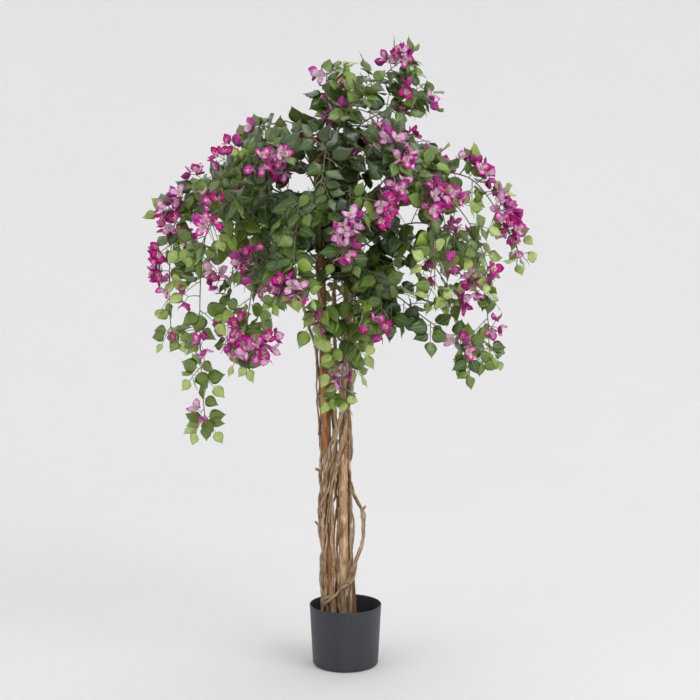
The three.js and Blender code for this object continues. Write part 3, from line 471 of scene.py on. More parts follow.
class Finish:
    """A material under way: its main shader, and short calls that add the nodes of a pattern."""

    def __init__(self, name, roughness, **sockets):
        self.material = bpy.data.materials.new(name)
        self.material.use_nodes = True
        self.tree = self.material.node_tree
        self.shader = self.tree.nodes["Principled BSDF"]
        self.shader.inputs["Roughness"].default_value = roughness
        for socket, value in sockets.items():
            self.shader.inputs[socket.replace("_", " ")].default_value = value

    def feed(self, socket, value):
        """Links a socket to another node's output, or sets it to a plain value."""
        if isinstance(value, bpy.types.NodeSocket):
            self.tree.links.new(value, socket)
        else:
            socket.default_value = value

    def add(self, kind, **sockets):
        """A new node with its named sockets fed."""
        node = self.tree.nodes.new("ShaderNode" + kind)
        for socket, value in sockets.items():
            self.feed(node.inputs[socket], value)
        return node

    def place(self, stretch=(1, 1, 1)):
        """Object coordinates, in metres, times a stretch."""
        return self.stretched(self.add("TexCoord").outputs["Object"], stretch)

    def attribute(self, name, stretch=(1, 1, 1)):
        node = self.add("Attribute")
        node.attribute_name = name
        return self.stretched(node.outputs["Vector"], stretch)

    def stretched(self, source, stretch):
        return self.add("Mapping", Vector=source, Scale=stretch).outputs["Vector"]

    def noise(self, where, scale, detail=4.0, roughness=0.55, distortion=0.0):
        node = self.add("TexNoise", Vector=where, Scale=scale, Detail=detail, Roughness=roughness,
                        Distortion=distortion)
        return node.outputs["Fac"]

    def ramp(self, value, *stops):
        """Colours, or greys given as one number, at shares of a value."""
        node = self.add("ValToRGB", Fac=value)
        ramp = node.color_ramp
        while len(ramp.elements) < len(stops):
            ramp.elements.new(0.5)
        for element, (share, colour) in zip(ramp.elements, stops):
            element.position = share
            element.color = (*(srgb(*colour) if isinstance(colour, tuple) else [colour] * 3), 1)
        return node.outputs["Color"]

    def maths(self, operation, *values):
        node = self.add("Math")
        node.operation = operation
        for socket, value in zip(node.inputs, values):
            self.feed(socket, value)
        return node.outputs["Value"]

    def blend(self, share, first, second):
        """From the first colour to the second, by a share."""
        node = self.add("Mix")
        node.data_type = "RGBA"
        for number, value in ((0, share), (6, first), (7, second)):
            self.feed(node.inputs[number], (*srgb(*value), 1) if isinstance(value, tuple) else value)
        return node.outputs[2]

    def bump(self, height, strength, distance, **below):
        """A surface raised by a height, on top of what is below, if that is given as Normal."""
        node = self.add("Bump", Height=height, Strength=strength, Distance=distance, **below)
        return node.outputs["Normal"]

    def mottled(self, colour, scale, dark, light):
        """One colour that wanders from a darker to a lighter shade of itself."""
        share = self.ramp(self.noise(self.place(), scale, 3), (0.3, 0.0), (0.7, 1.0))
        return self.blend(share, shaded(colour, dark), shaded(colour, light))

    def veins(self, along, slant):
        """A wave over a blade, sin(2 pi (along u - slant |v|)), whose crests slant from the middle line."""
        u, v, _ = self.add("SeparateXYZ", Vector=self.attribute("blade")).outputs
        turns = self.maths("SUBTRACT", self.maths("MULTIPLY", u, along), self.maths("MULTIPLY", v, slant))
        return self.maths("SINE", self.maths("MULTIPLY", turns, 2 * math.pi))

    def done(self, colour, **sockets):
        self.feed(self.shader.inputs["Base Color"], colour)
        for socket, value in sockets.items():
            self.feed(self.shader.inputs[socket], value)
        return self.material


def leaf_finish(name, colour, roughness, coat, depth):
    """Waxed printed cloth: a faint mottle over one plain colour, with narrow veins and weave in relief."""
    leaf = Finish(name, roughness, Coat_Weight=coat, Coat_Roughness=0.18, Specular_IOR_Level=0.45)
    tint = leaf.mottled(colour, 60, 0.88, 1.1)
    ribs = leaf.maths("POWER", leaf.maths("MULTIPLY_ADD", leaf.veins(7.0, 2.6), 0.5, 0.5), 3.0)
    weave = leaf.noise(leaf.place(), 900, 2)
    return leaf.done(tint, Normal=leaf.bump(weave, 0.08, 0.0004, Normal=leaf.bump(ribs, depth, 0.0008)))


def bract_finish(name, colour):
    """Thin printed cloth in one magenta, with veins in low relief."""
    bract = Finish(name, 0.75, Specular_IOR_Level=0.15)
    tint = bract.mottled(colour, 110, 0.86, 1.12)
    return bract.done(tint, Normal=bract.bump(bract.veins(5.0, 2.0), 0.5, 0.0006))


def bark_finish(name, stops, grain, patch=None):
    """Dry bark in straightened coordinates: long streaks, shorter flakes, fine grit and, with a patch's
    colour, pale patches."""
    bark = Finish(name, 0.85, Specular_IOR_Level=0.25)
    where = bark.attribute("grain", (MM, MM, MM))
    streaks = bark.noise(bark.stretched(where, (1, 1, 0.09)), grain, 6, 0.65, 0.6)
    flakes = bark.noise(bark.stretched(where, (1, 1, 0.45)), grain * 0.45, 5, 0.6, 1.2)
    tone = bark.maths("ADD", bark.maths("MULTIPLY", streaks, 0.6), bark.maths("MULTIPLY", flakes, 0.4))
    colour = bark.ramp(tone, *stops)
    if patch is not None:
        pale = bark.noise(bark.stretched(where, (1, 1, 0.5)), 38, 4, 0.6, 0.8)
        colour = bark.blend(bark.ramp(pale, (0.54, 0.0), (0.64, 0.7)), colour, patch)
    fine = bark.noise(where, 1400, 3, 0.6)
    return bark.done(colour, Normal=bark.bump(fine, 0.2, 0.0006, Normal=bark.bump(tone, 0.75, 0.0022)))


def stem_finish(name, stops):
    """Soft plastic with a long mottle along the stem."""
    stem = Finish(name, 0.6, Specular_IOR_Level=0.4)
    where = stem.attribute("grain", (MM, MM, MM))
    mottle = stem.noise(stem.stretched(where, (1, 1, 0.2)), 160, 4, 0.6)
    return stem.done(stem.ramp(mottle, *stops), Normal=stem.bump(mottle, 0.4, 0.0008))


def pot_finish():
    """Moulded grey plastic: nearly even colour, a fine orange-peel and faint upright flow marks."""
    pot = Finish("pot_grey_plastic", 0.5, Specular_IOR_Level=0.4)
    flow = pot.noise(pot.place((1, 1, 0.12)), 26, 4)
    peel = pot.noise(pot.place(), 520, 3)
    colour = pot.ramp(flow, (0.3, (53, 55, 60)), (0.7, (61, 63, 68)))
    shine = pot.ramp(pot.noise(pot.place(), 14, 5), (0.3, 0.42), (0.75, 0.58))
    return pot.done(colour, Normal=pot.bump(peel, 0.12, 0.0005), Roughness=shine)


def cement_finish():
    """Grey-brown cement, gritty in colour and relief."""
    fill = Finish("cement", 0.95, Specular_IOR_Level=0.2)
    grit = fill.noise(fill.place(), 90, 8, 0.7)
    colour = fill.ramp(grit, (0.3, (62, 58, 52)), (0.5, (92, 87, 79)), (0.72, (120, 114, 104)))
    return fill.done(colour, Normal=fill.bump(grit, 0.9, 0.003))


def paper_finish():
    """The studio's floor and backdrop: matt, with barely any mottle."""
    colour = (244, 244, 245)
    paper = Finish("studio_paper", 0.95, Specular_IOR_Level=0.1)
    return paper.done(paper.ramp(paper.noise(paper.place(), 2), (0.2, shaded(colour, 0.99)), (0.8, colour)))


# ---------------------------------------------------------------- poles and vines
POLE = {
    "every": 3.2,  # from ring to ring
    "sides": 40,
    "flute": 70,  # length that a flute keeps its shape over
    "round": 1.6,  # how fast the relief changes round the pole
    "knot": (9, 0.5),  # a knot's half height, and its half width in radians
    "shrink": 0.985,  # leaves room for the relief
}
VINE = {
    "every": 3.0,
    "twist": 26,  # climb in which the lobes turn by one radian
    "flute": 15,
    "hump": 34,
    "grit": 5,
    "gnarl": (3.2, 34.0),  # how far it is pushed sideways, and over what length
    "shrink": 0.98,
}
GNARL_EASE = 40  # height above a limb's foot in which it comes to its full gnarl
STUB = {"steps": 6, "taper": (1.15, 0.85), "lift": 3, "lobes": 0.08}


def pole(name, roughness, lumps, knots):
    """Bark relief on a pole: the section's radius, times one and long flutes, ridged noise, grit and a
    swelling at each knot."""
    wood = WOOD[name]
    heights = np.arange(wood.foot + 0.5, wood.top - 0.5, POLE["every"])
    rings, sides = len(heights), POLE["sides"]
    seed = 11.0 * (1 + POLES.index(name))
    angles = 2 * np.pi * np.arange(sides) / sides
    ring = np.stack([np.cos(angles), np.sin(angles)], axis=-1)
    place = np.concatenate([
        np.broadcast_to(ring[None] * POLE["round"], (rings, sides, 2)),
        np.broadcast_to(heights[:, None, None] / POLE["flute"], (rings, sides, 1)),
    ], axis=-1)
    flutes = noise(place * (1, 1, 0.7), seed)
    ridges = 1 - np.abs(noise(place * (3.4, 3.4, 3.0), seed + 1))
    grit = noise(place * (7, 7, 14), seed + 2)
    relief = 1 + lumps * flutes + roughness * (ridges - 0.6) + 0.35 * roughness * grit
    tall, wide = POLE["knot"]
    for at, angle, size in knots:
        turn = np.angle(np.exp(1j * (angles - math.radians(angle))))
        relief += size * np.exp(-((heights[:, None] - at) / tall) ** 2 - (turn[None] / wide) ** 2)
    radii = wood.radius(heights)[:, None] * relief * POLE["shrink"]
    return tubes(wood.at(heights)[None], radii[None], sides)


def vine_strand(path, radii, seed, lobes=0.16, sides=12):
    """A liana: its radius, times one and two lobes that turn as it climbs, three flutes, a hump now and then,
    and grit."""
    run = np.linalg.norm(np.diff(path, axis=0, prepend=path[:1]), axis=1).cumsum()[:, None]
    angles = (2 * np.pi * np.arange(sides) / sides)[None]
    twist = run / VINE["twist"] + seed
    lobed = lobes * np.cos(2 * (angles - twist)) + 0.07 * np.cos(3 * angles + run / VINE["flute"])
    humps = noise(np.stack([run / VINE["hump"], run * 0 + seed * 3.1, run * 0], axis=-1), seed)
    hump = np.clip(humps - 0.35, 0, 1) * 0.75
    grit = noise(np.stack(np.broadcast_arrays(
        np.cos(angles) * 2.4 + seed, np.sin(angles) * 2.4, run / VINE["grit"]), axis=-1), seed)
    return tubes(path[None], (radii[:, None] * (1 + lobed + hump + 0.09 * grit))[None], sides)


def gnarled(path, reach, wave, seed):
    """A path pushed sideways by smooth noise, by up to reach and over lengths of wave, and by finer noise."""
    z = path[:, 2] / wave
    flat = z * 0
    broad = [noise(np.stack([z, flat + k * 9.7, flat + seed], axis=-1), seed + k) for k in (1, 2)]
    fine = [noise(np.stack([z * 2.7, flat + k * 5.3, flat], axis=-1), seed - k) for k in (1, 2)]
    ease = np.minimum(1, (path[:, 2] - path[0, 2]) / GNARL_EASE)
    sideways = (np.array(broad) + 0.35 * np.array(fine)) * reach * ease
    return path + np.stack([*sideways, flat], axis=-1)


def vine(name, index):
    """A CAD vine's own route, gnarled, with its sawn side shoots."""
    wood = WOOD[name]
    heights = np.arange(wood.foot + 0.5, wood.top, VINE["every"])
    path = gnarled(wood.at(heights), *VINE["gnarl"], 3.0 * index + 1)
    parts = [vine_strand(path, wood.radius(heights) * VINE["shrink"], 1.7 * index)]
    for owner, at, angle, rise, length, radius in STUBS:
        if owner == name:
            root = path[np.argmin(np.abs(heights - at))]
            steps = np.linspace(0, 1, STUB["steps"])[:, None]
            route = root + steps * length * compass(angle, rise) + steps * (1 - steps) * STUB["lift"] * UP
            radii = radius * np.linspace(*STUB["taper"], STUB["steps"])
            parts.append(vine_strand(route, radii, index + 0.4, STUB["lobes"]))
    return joined(parts)


# What the climbers twine round: its middle, from the two front poles' own, how far it reaches, and over how
# many steps the climbers' reach, angle and gap are smoothed.
BUNDLE = {"middle": (1.0, 6.0, 0.0), "reach": 37.0, "smooth": (17, 15, 11)}
CLIMBER = {"gnarl": (2.0, 36.0), "taper": (1.0, 0.72), "lobes": 0.12, "sides": 10}
# Thin climbers that twine over poles and vines: radius, then (height, angle in degrees, gap) going up.
CLIMBERS = (
    (4.3, ((150, -152, 5), (172, -112, 0), (196, -62, 0), (226, -22, 7), (252, 8, 16))),
    (3.8, ((84, -44, 0), (120, -70, 0), (160, -96, 0), (205, -100, 0), (300, -96, 0), (390, -72, 0))),
    (3.0, ((84, 172, 3), (160, 176, 3), (215, 184, 8), (248, 190, 11), (282, 176, 2), (400, 150, 0),
           (520, 120, 0))),
    (2.7, ((338, 182, 9), (362, 196, 3), (400, 216, 0), (455, 246, 0), (520, 282, 0), (610, 318, 0),
           (760, 350, 2))),
    (2.9, ((84, 2, 3), (200, 6, 2), (268, 4, 5), (318, 2, 13), (352, 0, 15), (388, 0, 4), (450, 20, 0),
           (640, 60, 0), (860, 90, 0))),
    (2.6, ((352, -128, 0), (440, -112, 0), (480, -90, 0), (520, -58, 0), (556, -18, 5), (600, 2, 8),
           (664, 8, 2), (800, -20, 0), (960, -50, 0))),
    (3.4, ((318, -176, 2), (345, -172, 0), (400, -168, 0), (450, -140, 0), (505, -108, 0),
           (570, -80, 0), (680, -96, 0), (820, -140, 0), (980, -170, 0))),
    (2.6, ((400, -175, 0), (470, -150, 0), (530, -124, 0), (600, -128, 0), (720, -96, 0), (860, -60, 0))),
    (2.4, ((84, 96, 0), (260, 60, 0), (420, 30, 0), (560, 70, 0), (760, 130, 0), (980, 170, 0))),
    (2.8, ((84, 140, 0), (300, 170, 0), (420, 130, 0), (600, 90, 0), (800, 60, 0), (1010, 100, 0))),
    (2.2, ((560, 176, 3), (640, 180, 9), (720, 184, 5), (860, 150, 0), (1000, 120, 0))),
)


def smoothed(values, width):
    """A running mean, weighted by a raised cosine of so many samples."""
    weights = np.hanning(width + 2)[1:-1]
    return np.convolve(np.pad(values, width // 2, mode="edge"), weights / weights.sum(), "valid")


def hugging(angle, heights, radius, gap):
    """Points at an angle round the bundle of poles at each height, a gap outside whatever stands there: the
    reach is the furthest of d + sqrt(R^2 - h^2) over the wood, d along the angle and h across it."""
    middle = np.mean([WOOD[name].at(heights) for name in POLES[:2]], axis=0) + BUNDLE["middle"]
    along = np.stack([np.cos(angle), np.sin(angle)], axis=-1)
    across = np.stack([-np.sin(angle), np.cos(angle)], axis=-1)
    reach = np.full(len(heights), radius)
    for wood in WOOD.values():
        offset = (wood.at(heights) - middle)[:, :2]
        d, h = np.sum(offset * along, axis=1), np.sum(offset * across, axis=1)
        room = (wood.radius(heights) + radius) ** 2 - h**2
        near = (room > 0) & (heights < wood.top) & (np.linalg.norm(offset, axis=1) < BUNDLE["reach"])
        reach = np.where(near, np.maximum(reach, d + np.sqrt(np.maximum(room, 0))), reach)
    sideways = along * (smoothed(reach, BUNDLE["smooth"][0]) + gap)[:, None]
    return middle + np.concatenate([sideways, np.zeros((len(heights), 1))], axis=-1)


def climbers():
    """Every thin climber, hugging the bundle on its way up."""
    parts = []
    for index, (radius, stations) in enumerate(CLIMBERS):
        at, turns, gaps = np.array(stations, float).T
        heights = np.arange(at[0], at[-1], VINE["every"])
        share = (heights - at[0]) / (at[-1] - at[0])
        angle = smoothed(np.radians(np.interp(heights, at, turns)), BUNDLE["smooth"][1])
        gap = smoothed(np.interp(heights, at, gaps), BUNDLE["smooth"][2])
        path = gnarled(hugging(angle, heights, radius, gap), *CLIMBER["gnarl"], 20.0 + index)
        radii = radius * mix(*CLIMBER["taper"], share)
        parts.append(vine_strand(path, radii, 9.0 + index, CLIMBER["lobes"], CLIMBER["sides"]))
    return joined(parts)


# ---------------------------------------------------------------- foliage: how it grows
LEAF = {
    "length": (60, 38),  # at a stem's root and at its tip
    "small": (30, 42),  # on a cluster's twig
    "shoot": 52,  # on a shoot inside the crown
    "width": 0.79,  # of its length
    "every": 25,  # along a stem
    "first": 0.06,  # share of the stem that is bare
    "petiole": 9,
    "hang": 0.16,  # how far a blade drops from its stalk's heading
    "stray": 0.6,  # how far its heading strays by chance
    "unrest": 1.8,  # how far its face strays by chance
    "middle": 0.45,  # share of its length where its middle lies
    "clear": 5,  # from the wood
}
TWIG = {
    "every": 55,  # along a stem
    "first": 0.12,  # share of the stem that has none
    "last": 0.95,
    "length": 104,
    "taper": 0.85,
    "droop": 0.1,
    "sag": 0.12,  # how far its end drops, of its length
    "rise": 0.06,  # how far it arches up, of its length
    "steps": 7,
    "radius": (1.25, 0.7),
    "bare": 0.22,
    "leaves": 6,
    "clear": 4,  # from the wood
    "end": 38,  # length of the two at a stem's tip
    "fan": (10, 170),  # and their sides
}
STEM = {"radius": (2.1, 1.0), "steps": 26, "sway": 5.0, "tip": 0.965}
STALK = {"leaf": 0.75, "flower": 0.8, "cluster": (1.2, 0.8)}  # radii
FLOWER = {
    "bract": 25.5,
    "stalk": 11,
    "tilt": (34, 62),  # degrees that a bract leans away from the flower's axis
    "tube": 11,
    "room": (8, 40),  # how far along its axis, and how large, the leaves take it to be
    "spread": 78,  # half of a cluster's dome, in degrees
    "full": 7,  # flowers in a large cluster
    "hang": 0.3,  # how far a cluster's twig drops
    "long": 60,  # length of twig that drops so far
    "leafy": 28,  # length of twig for each leaf on it
    "trumpet": (0.7, 0.9, 1.1, 2.3),  # a tube's radii
}
CROWDING = 0.5  # how near two leaves' middles may come, in leaf widths
MOST = 4000  # leaves and flowers that there is room to note
# The shoots grow inside the crown, and their last entry makes their leaves old and dark: painted shade for
# the inside of the crown.
SHOOTS = {"low": 890, "every": 17, "length": (62, 118), "youth_and_shade": -0.5}
AGE_AND_SHADE_STEPS = (0.26, 0.68, 1.04, 1.22)  # where a leaf passes from one green to the next; below the first, a leaf gets the painted shade green
OLD = 3  # so many of the greens are old leaves', the painted shade green first
TWIG_KEY, LEAF_KEY, BLOOM_KEY, SWAY_KEY, SHOOT_KEY, END_KEY = 1, 2, 3, 4, 5, 6
GOLDEN = math.radians(137.5)


def out_at(point):
    """Straight out from CENTRE and up, as a leaf there faces."""
    flat = (point - CENTRE) * (1, 1, 0)
    return unit(flat + OUT_RISE * UP)


class Foliage:
    """Everything grown so far: limbs as paths with radii, and leaves and bracts as root, heading, face,
    length, bend and tone."""

    def __init__(self):
        self.stems, self.twigs, self.stalks = [], [], []
        self.leaves, self.bracts, self.tubes = [], [], []
        self.middles, self.sizes = np.zeros((MOST, 3)), np.zeros(MOST)
        self.taken = 0
        self.eye = np.array(EYE, float)
        self.sights = unit(np.array([(across, 0, height) for across, height, _ in OPENINGS]) - self.eye)
        self.clear = np.array([radius for _, _, radius in OPENINGS])
        self.hollows = np.array([(across, -ahead, height) for across, ahead, height, _ in HOLLOWS])
        self.hollow = np.array([radius for _, _, _, radius in HOLLOWS])

    def is_hollow(self, spot):
        return np.any(np.linalg.norm(self.hollows - spot, axis=1) < self.hollow)

    def is_open(self, spot):
        """Nearer to a line of sight, by |(spot - eye) x way|, than a leaf may stand."""
        return np.any(np.linalg.norm(np.cross(spot - self.eye, self.sights), axis=1) < self.clear)

    def is_crowded(self, middle, size):
        if self.is_open(middle) or self.is_hollow(middle):
            return True
        near = np.linalg.norm(self.middles[: self.taken] - middle, axis=1)
        return bool(np.any(near < CROWDING * LEAF["width"] * (self.sizes[: self.taken] + size) / 2))

    def take(self, middle, size):
        self.middles[self.taken] = middle
        self.sizes[self.taken] = size
        self.taken += 1

    def leaf(self, root, heading, facing, size, tone, keys):
        """A stalk along the heading, then a blade that hangs a little more and faces about the given way."""
        jitter = np.array([chance(*keys, axis) - 0.5 for axis in (5, 6, 7)])
        along = unit(heading)
        foot = root + LEAF["petiole"] * along * (size / LEAF["length"][0])
        blade = unit(along - LEAF["hang"] * UP + LEAF["stray"] * jitter)
        face = squared(facing + jitter * LEAF["unrest"], blade)
        middle, tip = foot + LEAF["middle"] * size * blade, foot + size * blade
        if self.is_crowded(middle, size) or not clear_of_wood(np.stack([middle, tip]), LEAF["clear"]):
            return
        self.take(middle, size)
        arch = root + 0.5 * (foot - root) + 0.8 * UP
        self.stalks.append((np.stack([root, arch, foot + 1.5 * blade]), STALK["leaf"]))
        self.leaves.append((foot, blade, face, size, chance(*keys, 8), tone))

    def flower(self, hub, heading, keys):
        """A stalk, three bracts in a cup about its end and three small tubes in the middle."""
        heart = hub + heading * FLOWER["stalk"] * mix(0.8, 1.4, chance(*keys, 1))
        self.stalks.append((np.stack([hub, (hub + heart) / 2 + 1.5 * UP, heart]), STALK["flower"]))
        jitter = np.array([chance(*keys, axis) - 0.5 for axis in (2, 3, 4)])
        axis = unit(heading + 0.7 * jitter)
        side = squared(np.array([0.2, 0.5, 0.8]), axis)
        across = np.cross(axis, side)
        start = 2 * math.pi * chance(*keys, 9)
        for k in range(3):
            turn = start + 2 * math.pi * k / 3
            radial = side * math.cos(turn) + across * math.sin(turn)
            tilt = math.radians(mix(*FLOWER["tilt"], chance(*keys, 10 + k)))
            along = axis * math.cos(tilt) + radial * math.sin(tilt)
            size = FLOWER["bract"] * mix(0.86, 1.06, chance(*keys, 20 + k))
            bend, tone = chance(*keys, 30 + k), int(3 * chance(*keys, 31))
            self.bracts.append((heart, along, squared(axis, along), size, bend, tone))
            tip = heart + FLOWER["tube"] * unit(axis + 0.35 * radial)
            self.tubes.append(np.stack([heart + 1.0 * axis, (heart + tip) / 2, tip, tip + 0.8 * axis]))
        ahead, room = FLOWER["room"]
        self.take(heart + ahead * axis, room)

    def cluster(self, root, away, reach, flowers, facing, keys):
        """A twig that hangs by its length, a leaf or more on it where it is long, and flowers on a dome round
        its end by turns of the golden angle."""
        hub = root + reach * (away - FLOWER["hang"] * min(1, reach / FLOWER["long"]) * UP)
        arch = (root + hub) / 2 + TWIG["sag"] * reach * UP
        path = bezier(root, arch, hub, np.linspace(0, 1, TWIG["steps"]))
        self.twigs.append((path, STALK["cluster"]))
        side = np.cross(away, facing)
        for k in range(int(reach / FLOWER["leafy"])):
            spot = path[1 + 2 * k % 6]
            lean = side * (1 if k % 2 else -1) + 0.4 * away
            size = mix(*LEAF["small"], chance(*keys, 70 + k))
            self.leaf(spot, lean, facing, size, OLD - 1 + k % 2, (*keys, 80 + k))
        across = squared(UP + 0.1, away)
        other = np.cross(away, across)
        stretch = mix(0.9, 1.5, min(1, flowers / FLOWER["full"]))
        for k in range(flowers):
            lean = math.radians(FLOWER["spread"]) * math.sqrt((k + 0.4) / flowers)
            turn = GOLDEN * k + 2 * math.pi * chance(*keys, 1)
            spread = across * math.cos(turn) + other * math.sin(turn)
            heading = unit(away * math.cos(lean) + spread * math.sin(lean))
            self.flower(hub, heading * stretch, (*keys, 50 + k))

    def twig(self, root, heading, reach, size, youth_and_shade, facing, keys):
        """A short bough with leaves by turns and one at its tip, the youngest last."""
        end = root + heading * reach - TWIG["sag"] * reach * UP
        shoulder = root + 0.5 * heading * reach + TWIG["rise"] * reach * UP
        middle = bezier(root, shoulder, end, 0.6)
        if self.is_hollow(end) or not clear_of_wood(np.stack([middle, end]), TWIG["clear"]):
            return
        self.twigs.append((bezier(root, shoulder, end, np.linspace(0, 1, TWIG["steps"])), TWIG["radius"]))
        count, tangent = TWIG["leaves"], unit(end - root)
        for k in range(count + 1):
            is_last = k == count
            share = 1.0 if is_last else TWIG["bare"] + 0.76 * k / count
            spot = bezier(root, shoulder, end, share)
            side = np.cross(tangent, facing(spot))
            lean = 0.0 if is_last else (1 if (k + keys[1]) % 2 else -1)
            way = side * lean + tangent * (1.0 if is_last else 0.35) + (chance(*keys, k, 3) - 0.5) * 0.5 * UP
            age_and_shade = share * 0.75 + youth_and_shade * 0.5 + 0.3 * (chance(*keys, k, 4) - 0.5)
            length = size * mix(1.1, 0.82, share) * mix(0.88, 1.12, chance(*keys, k, 5))
            self.leaf(spot, way, facing(spot), length, tone_of(age_and_shade), (*keys, k))


def tone_of(age_and_shade):
    """Which green a leaf has: 0, a darker green painted as shade, for the oldest leaves and those in the
    shaded middle of the crown, up to 4 for the youngest.
    """
    return int(np.digitize(age_and_shade, AGE_AND_SHADE_STEPS))


class Spray:
    """One spray: its stem arches from the wood through a shoulder to its tip, and what stands on it goes to
    either side by turns, each place and size drawn by chance from the spray's number."""

    def __init__(self, index, foliage):
        name, wood, root, self.turn, shoulder, tip, self.blooms = SPRAYS[index]
        self.index, self.foliage = index, foliage
        self.spray_youth_and_shade = YOUTH_AND_PAINTED_SHADE.get(name, 0.0)
        self.larger = 1 - 0.25 * self.spray_youth_and_shade
        wood = WOOD[wood]
        height = wood.top - 1 if root is None else WOOD_FOOT + LEVEL * round((root - WOOD_FOOT) / LEVEL)
        self.start = wood.at([height])[0]
        self.tip = around(*tip)
        self.bend = 2 * around(*shoulder) - (self.start + self.tip) / 2
        spots = self.at(np.linspace(0, 1, 60))
        self.length = np.linalg.norm(np.diff(spots, axis=0), axis=1).sum()

    def at(self, share):
        """The arch, swayed a little off its curve between its ends."""
        s = np.asarray(share, float)
        sway = [np.sin(2 * np.pi * ((1.4 + 0.4 * k) * s + chance(self.index, SWAY_KEY, k))) for k in range(3)]
        ease = STEM["sway"] * 4 * s * (1 - s)
        return bezier(self.start, self.bend, self.tip, s) + np.stack(sway, axis=-1) * ease[..., None]

    def tangent(self, share):
        return unit(self.at(min(share + 0.01, 1.0)) - self.at(share - 0.01))

    def facing(self, point):
        """Straight out and up, turned about Z to the spray's side."""
        x, y, z = out_at(point)
        a = math.radians(self.turn)
        return np.array([x * math.cos(a) - y * math.sin(a), x * math.sin(a) + y * math.cos(a), z])

    def side(self, share, angle):
        """Square to the stem: 0 degrees is to one side, 90 the way its leaves face, 180 to the other side."""
        tangent = self.tangent(share)
        out = squared(self.facing(self.at(share)), tangent)
        a = math.radians(angle)
        return np.cross(out, tangent) * math.cos(a) + out * math.sin(a)

    def grow(self):
        spots = self.at(np.linspace(0, 1, STEM["steps"]))
        self.foliage.stems.append((spots, STEM["radius"]))
        self.grow_blooms()
        self.grow_leaves()
        self.grow_twigs()
        self.grow_end()

    def leafy_twig(self, share, heading, reach, size, youth_and_shade, keys):
        self.foliage.twig(self.at(share), heading, reach, size, youth_and_shade + 2 * self.spray_youth_and_shade, self.facing, keys)

    def grow_blooms(self):
        """Clusters of flowers, or leafy twigs, where the table has them."""
        for b, (share, flowers, angle, reach) in enumerate(self.blooms):
            root, side, ahead = self.at(share), self.side(share, angle), self.tangent(share)
            keys = (self.index, BLOOM_KEY, b)
            if flowers:
                away = unit(side + 0.5 * out_at(root) + ahead * (share > STEM["tip"]))
                self.foliage.cluster(root, away, reach, flowers, self.facing(root), keys)
            else:
                heading = unit(side + 0.7 * ahead - 0.2 * UP)
                self.leafy_twig(share, heading, reach, mix(*LEAF["length"], share), share, keys)

    def grow_leaves(self):
        """Leaves to either side by turns, and one at the stem's tip."""
        count = int(self.length * (1 - LEAF["first"]) / LEAF["every"])
        for j in range(count + 1):
            share = 0.995 if j == count else LEAF["first"] + (1 - LEAF["first"]) * (j + 0.5) / count
            keys = (self.index, LEAF_KEY, j)
            angle = 180 * (j % 2) + 90 * (chance(*keys, 1) - 0.5)
            heading = self.side(share, angle) * (j < count) + 0.35 * self.tangent(share) - 0.1 * UP
            size = mix(*LEAF["length"], share) * mix(0.88, 1.1, chance(*keys)) * self.larger
            age_and_shade = share + 0.35 * (chance(*keys, 4) - 0.6) + self.spray_youth_and_shade
            spot = self.at(share)
            self.foliage.leaf(spot, heading, self.facing(spot), size, tone_of(age_and_shade), keys)

    def grow_twigs(self):
        """Leafy twigs to either side by turns, shorter towards the tip."""
        count = round(self.length * (1 - TWIG["first"]) / TWIG["every"])
        for k in range(count):
            share = TWIG["first"] + (TWIG["last"] - TWIG["first"]) * (k + 0.5) / count
            keys = (self.index, TWIG_KEY, k)
            angle = 180 * ((self.index + k) % 2) + 90 * (chance(*keys, 1) - 0.3)
            heading = unit(self.side(share, angle) + 0.6 * self.tangent(share) - TWIG["droop"] * UP)
            reach = TWIG["length"] * (1.1 - TWIG["taper"] * share) * mix(0.75, 1.1, chance(*keys))
            size = mix(*LEAF["length"], 0.25 + 0.6 * share) * self.larger
            self.leafy_twig(share, heading, reach, size, share, keys)

    def grow_end(self):
        """Two short twigs that fork at the stem's tip."""
        for k, angle in enumerate(TWIG["fan"]):
            heading = unit(self.side(0.98, angle) + self.tangent(1.0) - 0.45 * UP)
            self.leafy_twig(0.98, heading, TWIG["end"], LEAF["length"][1], 0.9, (self.index, END_KEY, k))


def grow_shoots(foliage):
    """Leafy shoots straight from the poles inside the crown, by turns of the golden angle."""
    for index, name in enumerate(POLES):
        wood = WOOD[name]
        for k, height in enumerate(np.arange(SHOOTS["low"] + 6 * index, wood.top - 4, SHOOTS["every"])):
            keys = (100 + index, SHOOT_KEY, k)
            heading = compass(math.degrees(GOLDEN) * k + 60 * chance(*keys), mix(0, 50, chance(*keys, 1)))
            root = wood.at([height])[0] + wood.radius(height) * 0.9 * unit(heading * (1, 1, 0))
            reach = mix(*SHOOTS["length"], chance(*keys, 2))
            foliage.twig(root, heading, reach, LEAF["shoot"], SHOOTS["youth_and_shade"], out_at, keys)


def grown():
    foliage = Foliage()
    for index in range(len(SPRAYS)):
        Spray(index, foliage).grow()
    grow_shoots(foliage)
    return foliage


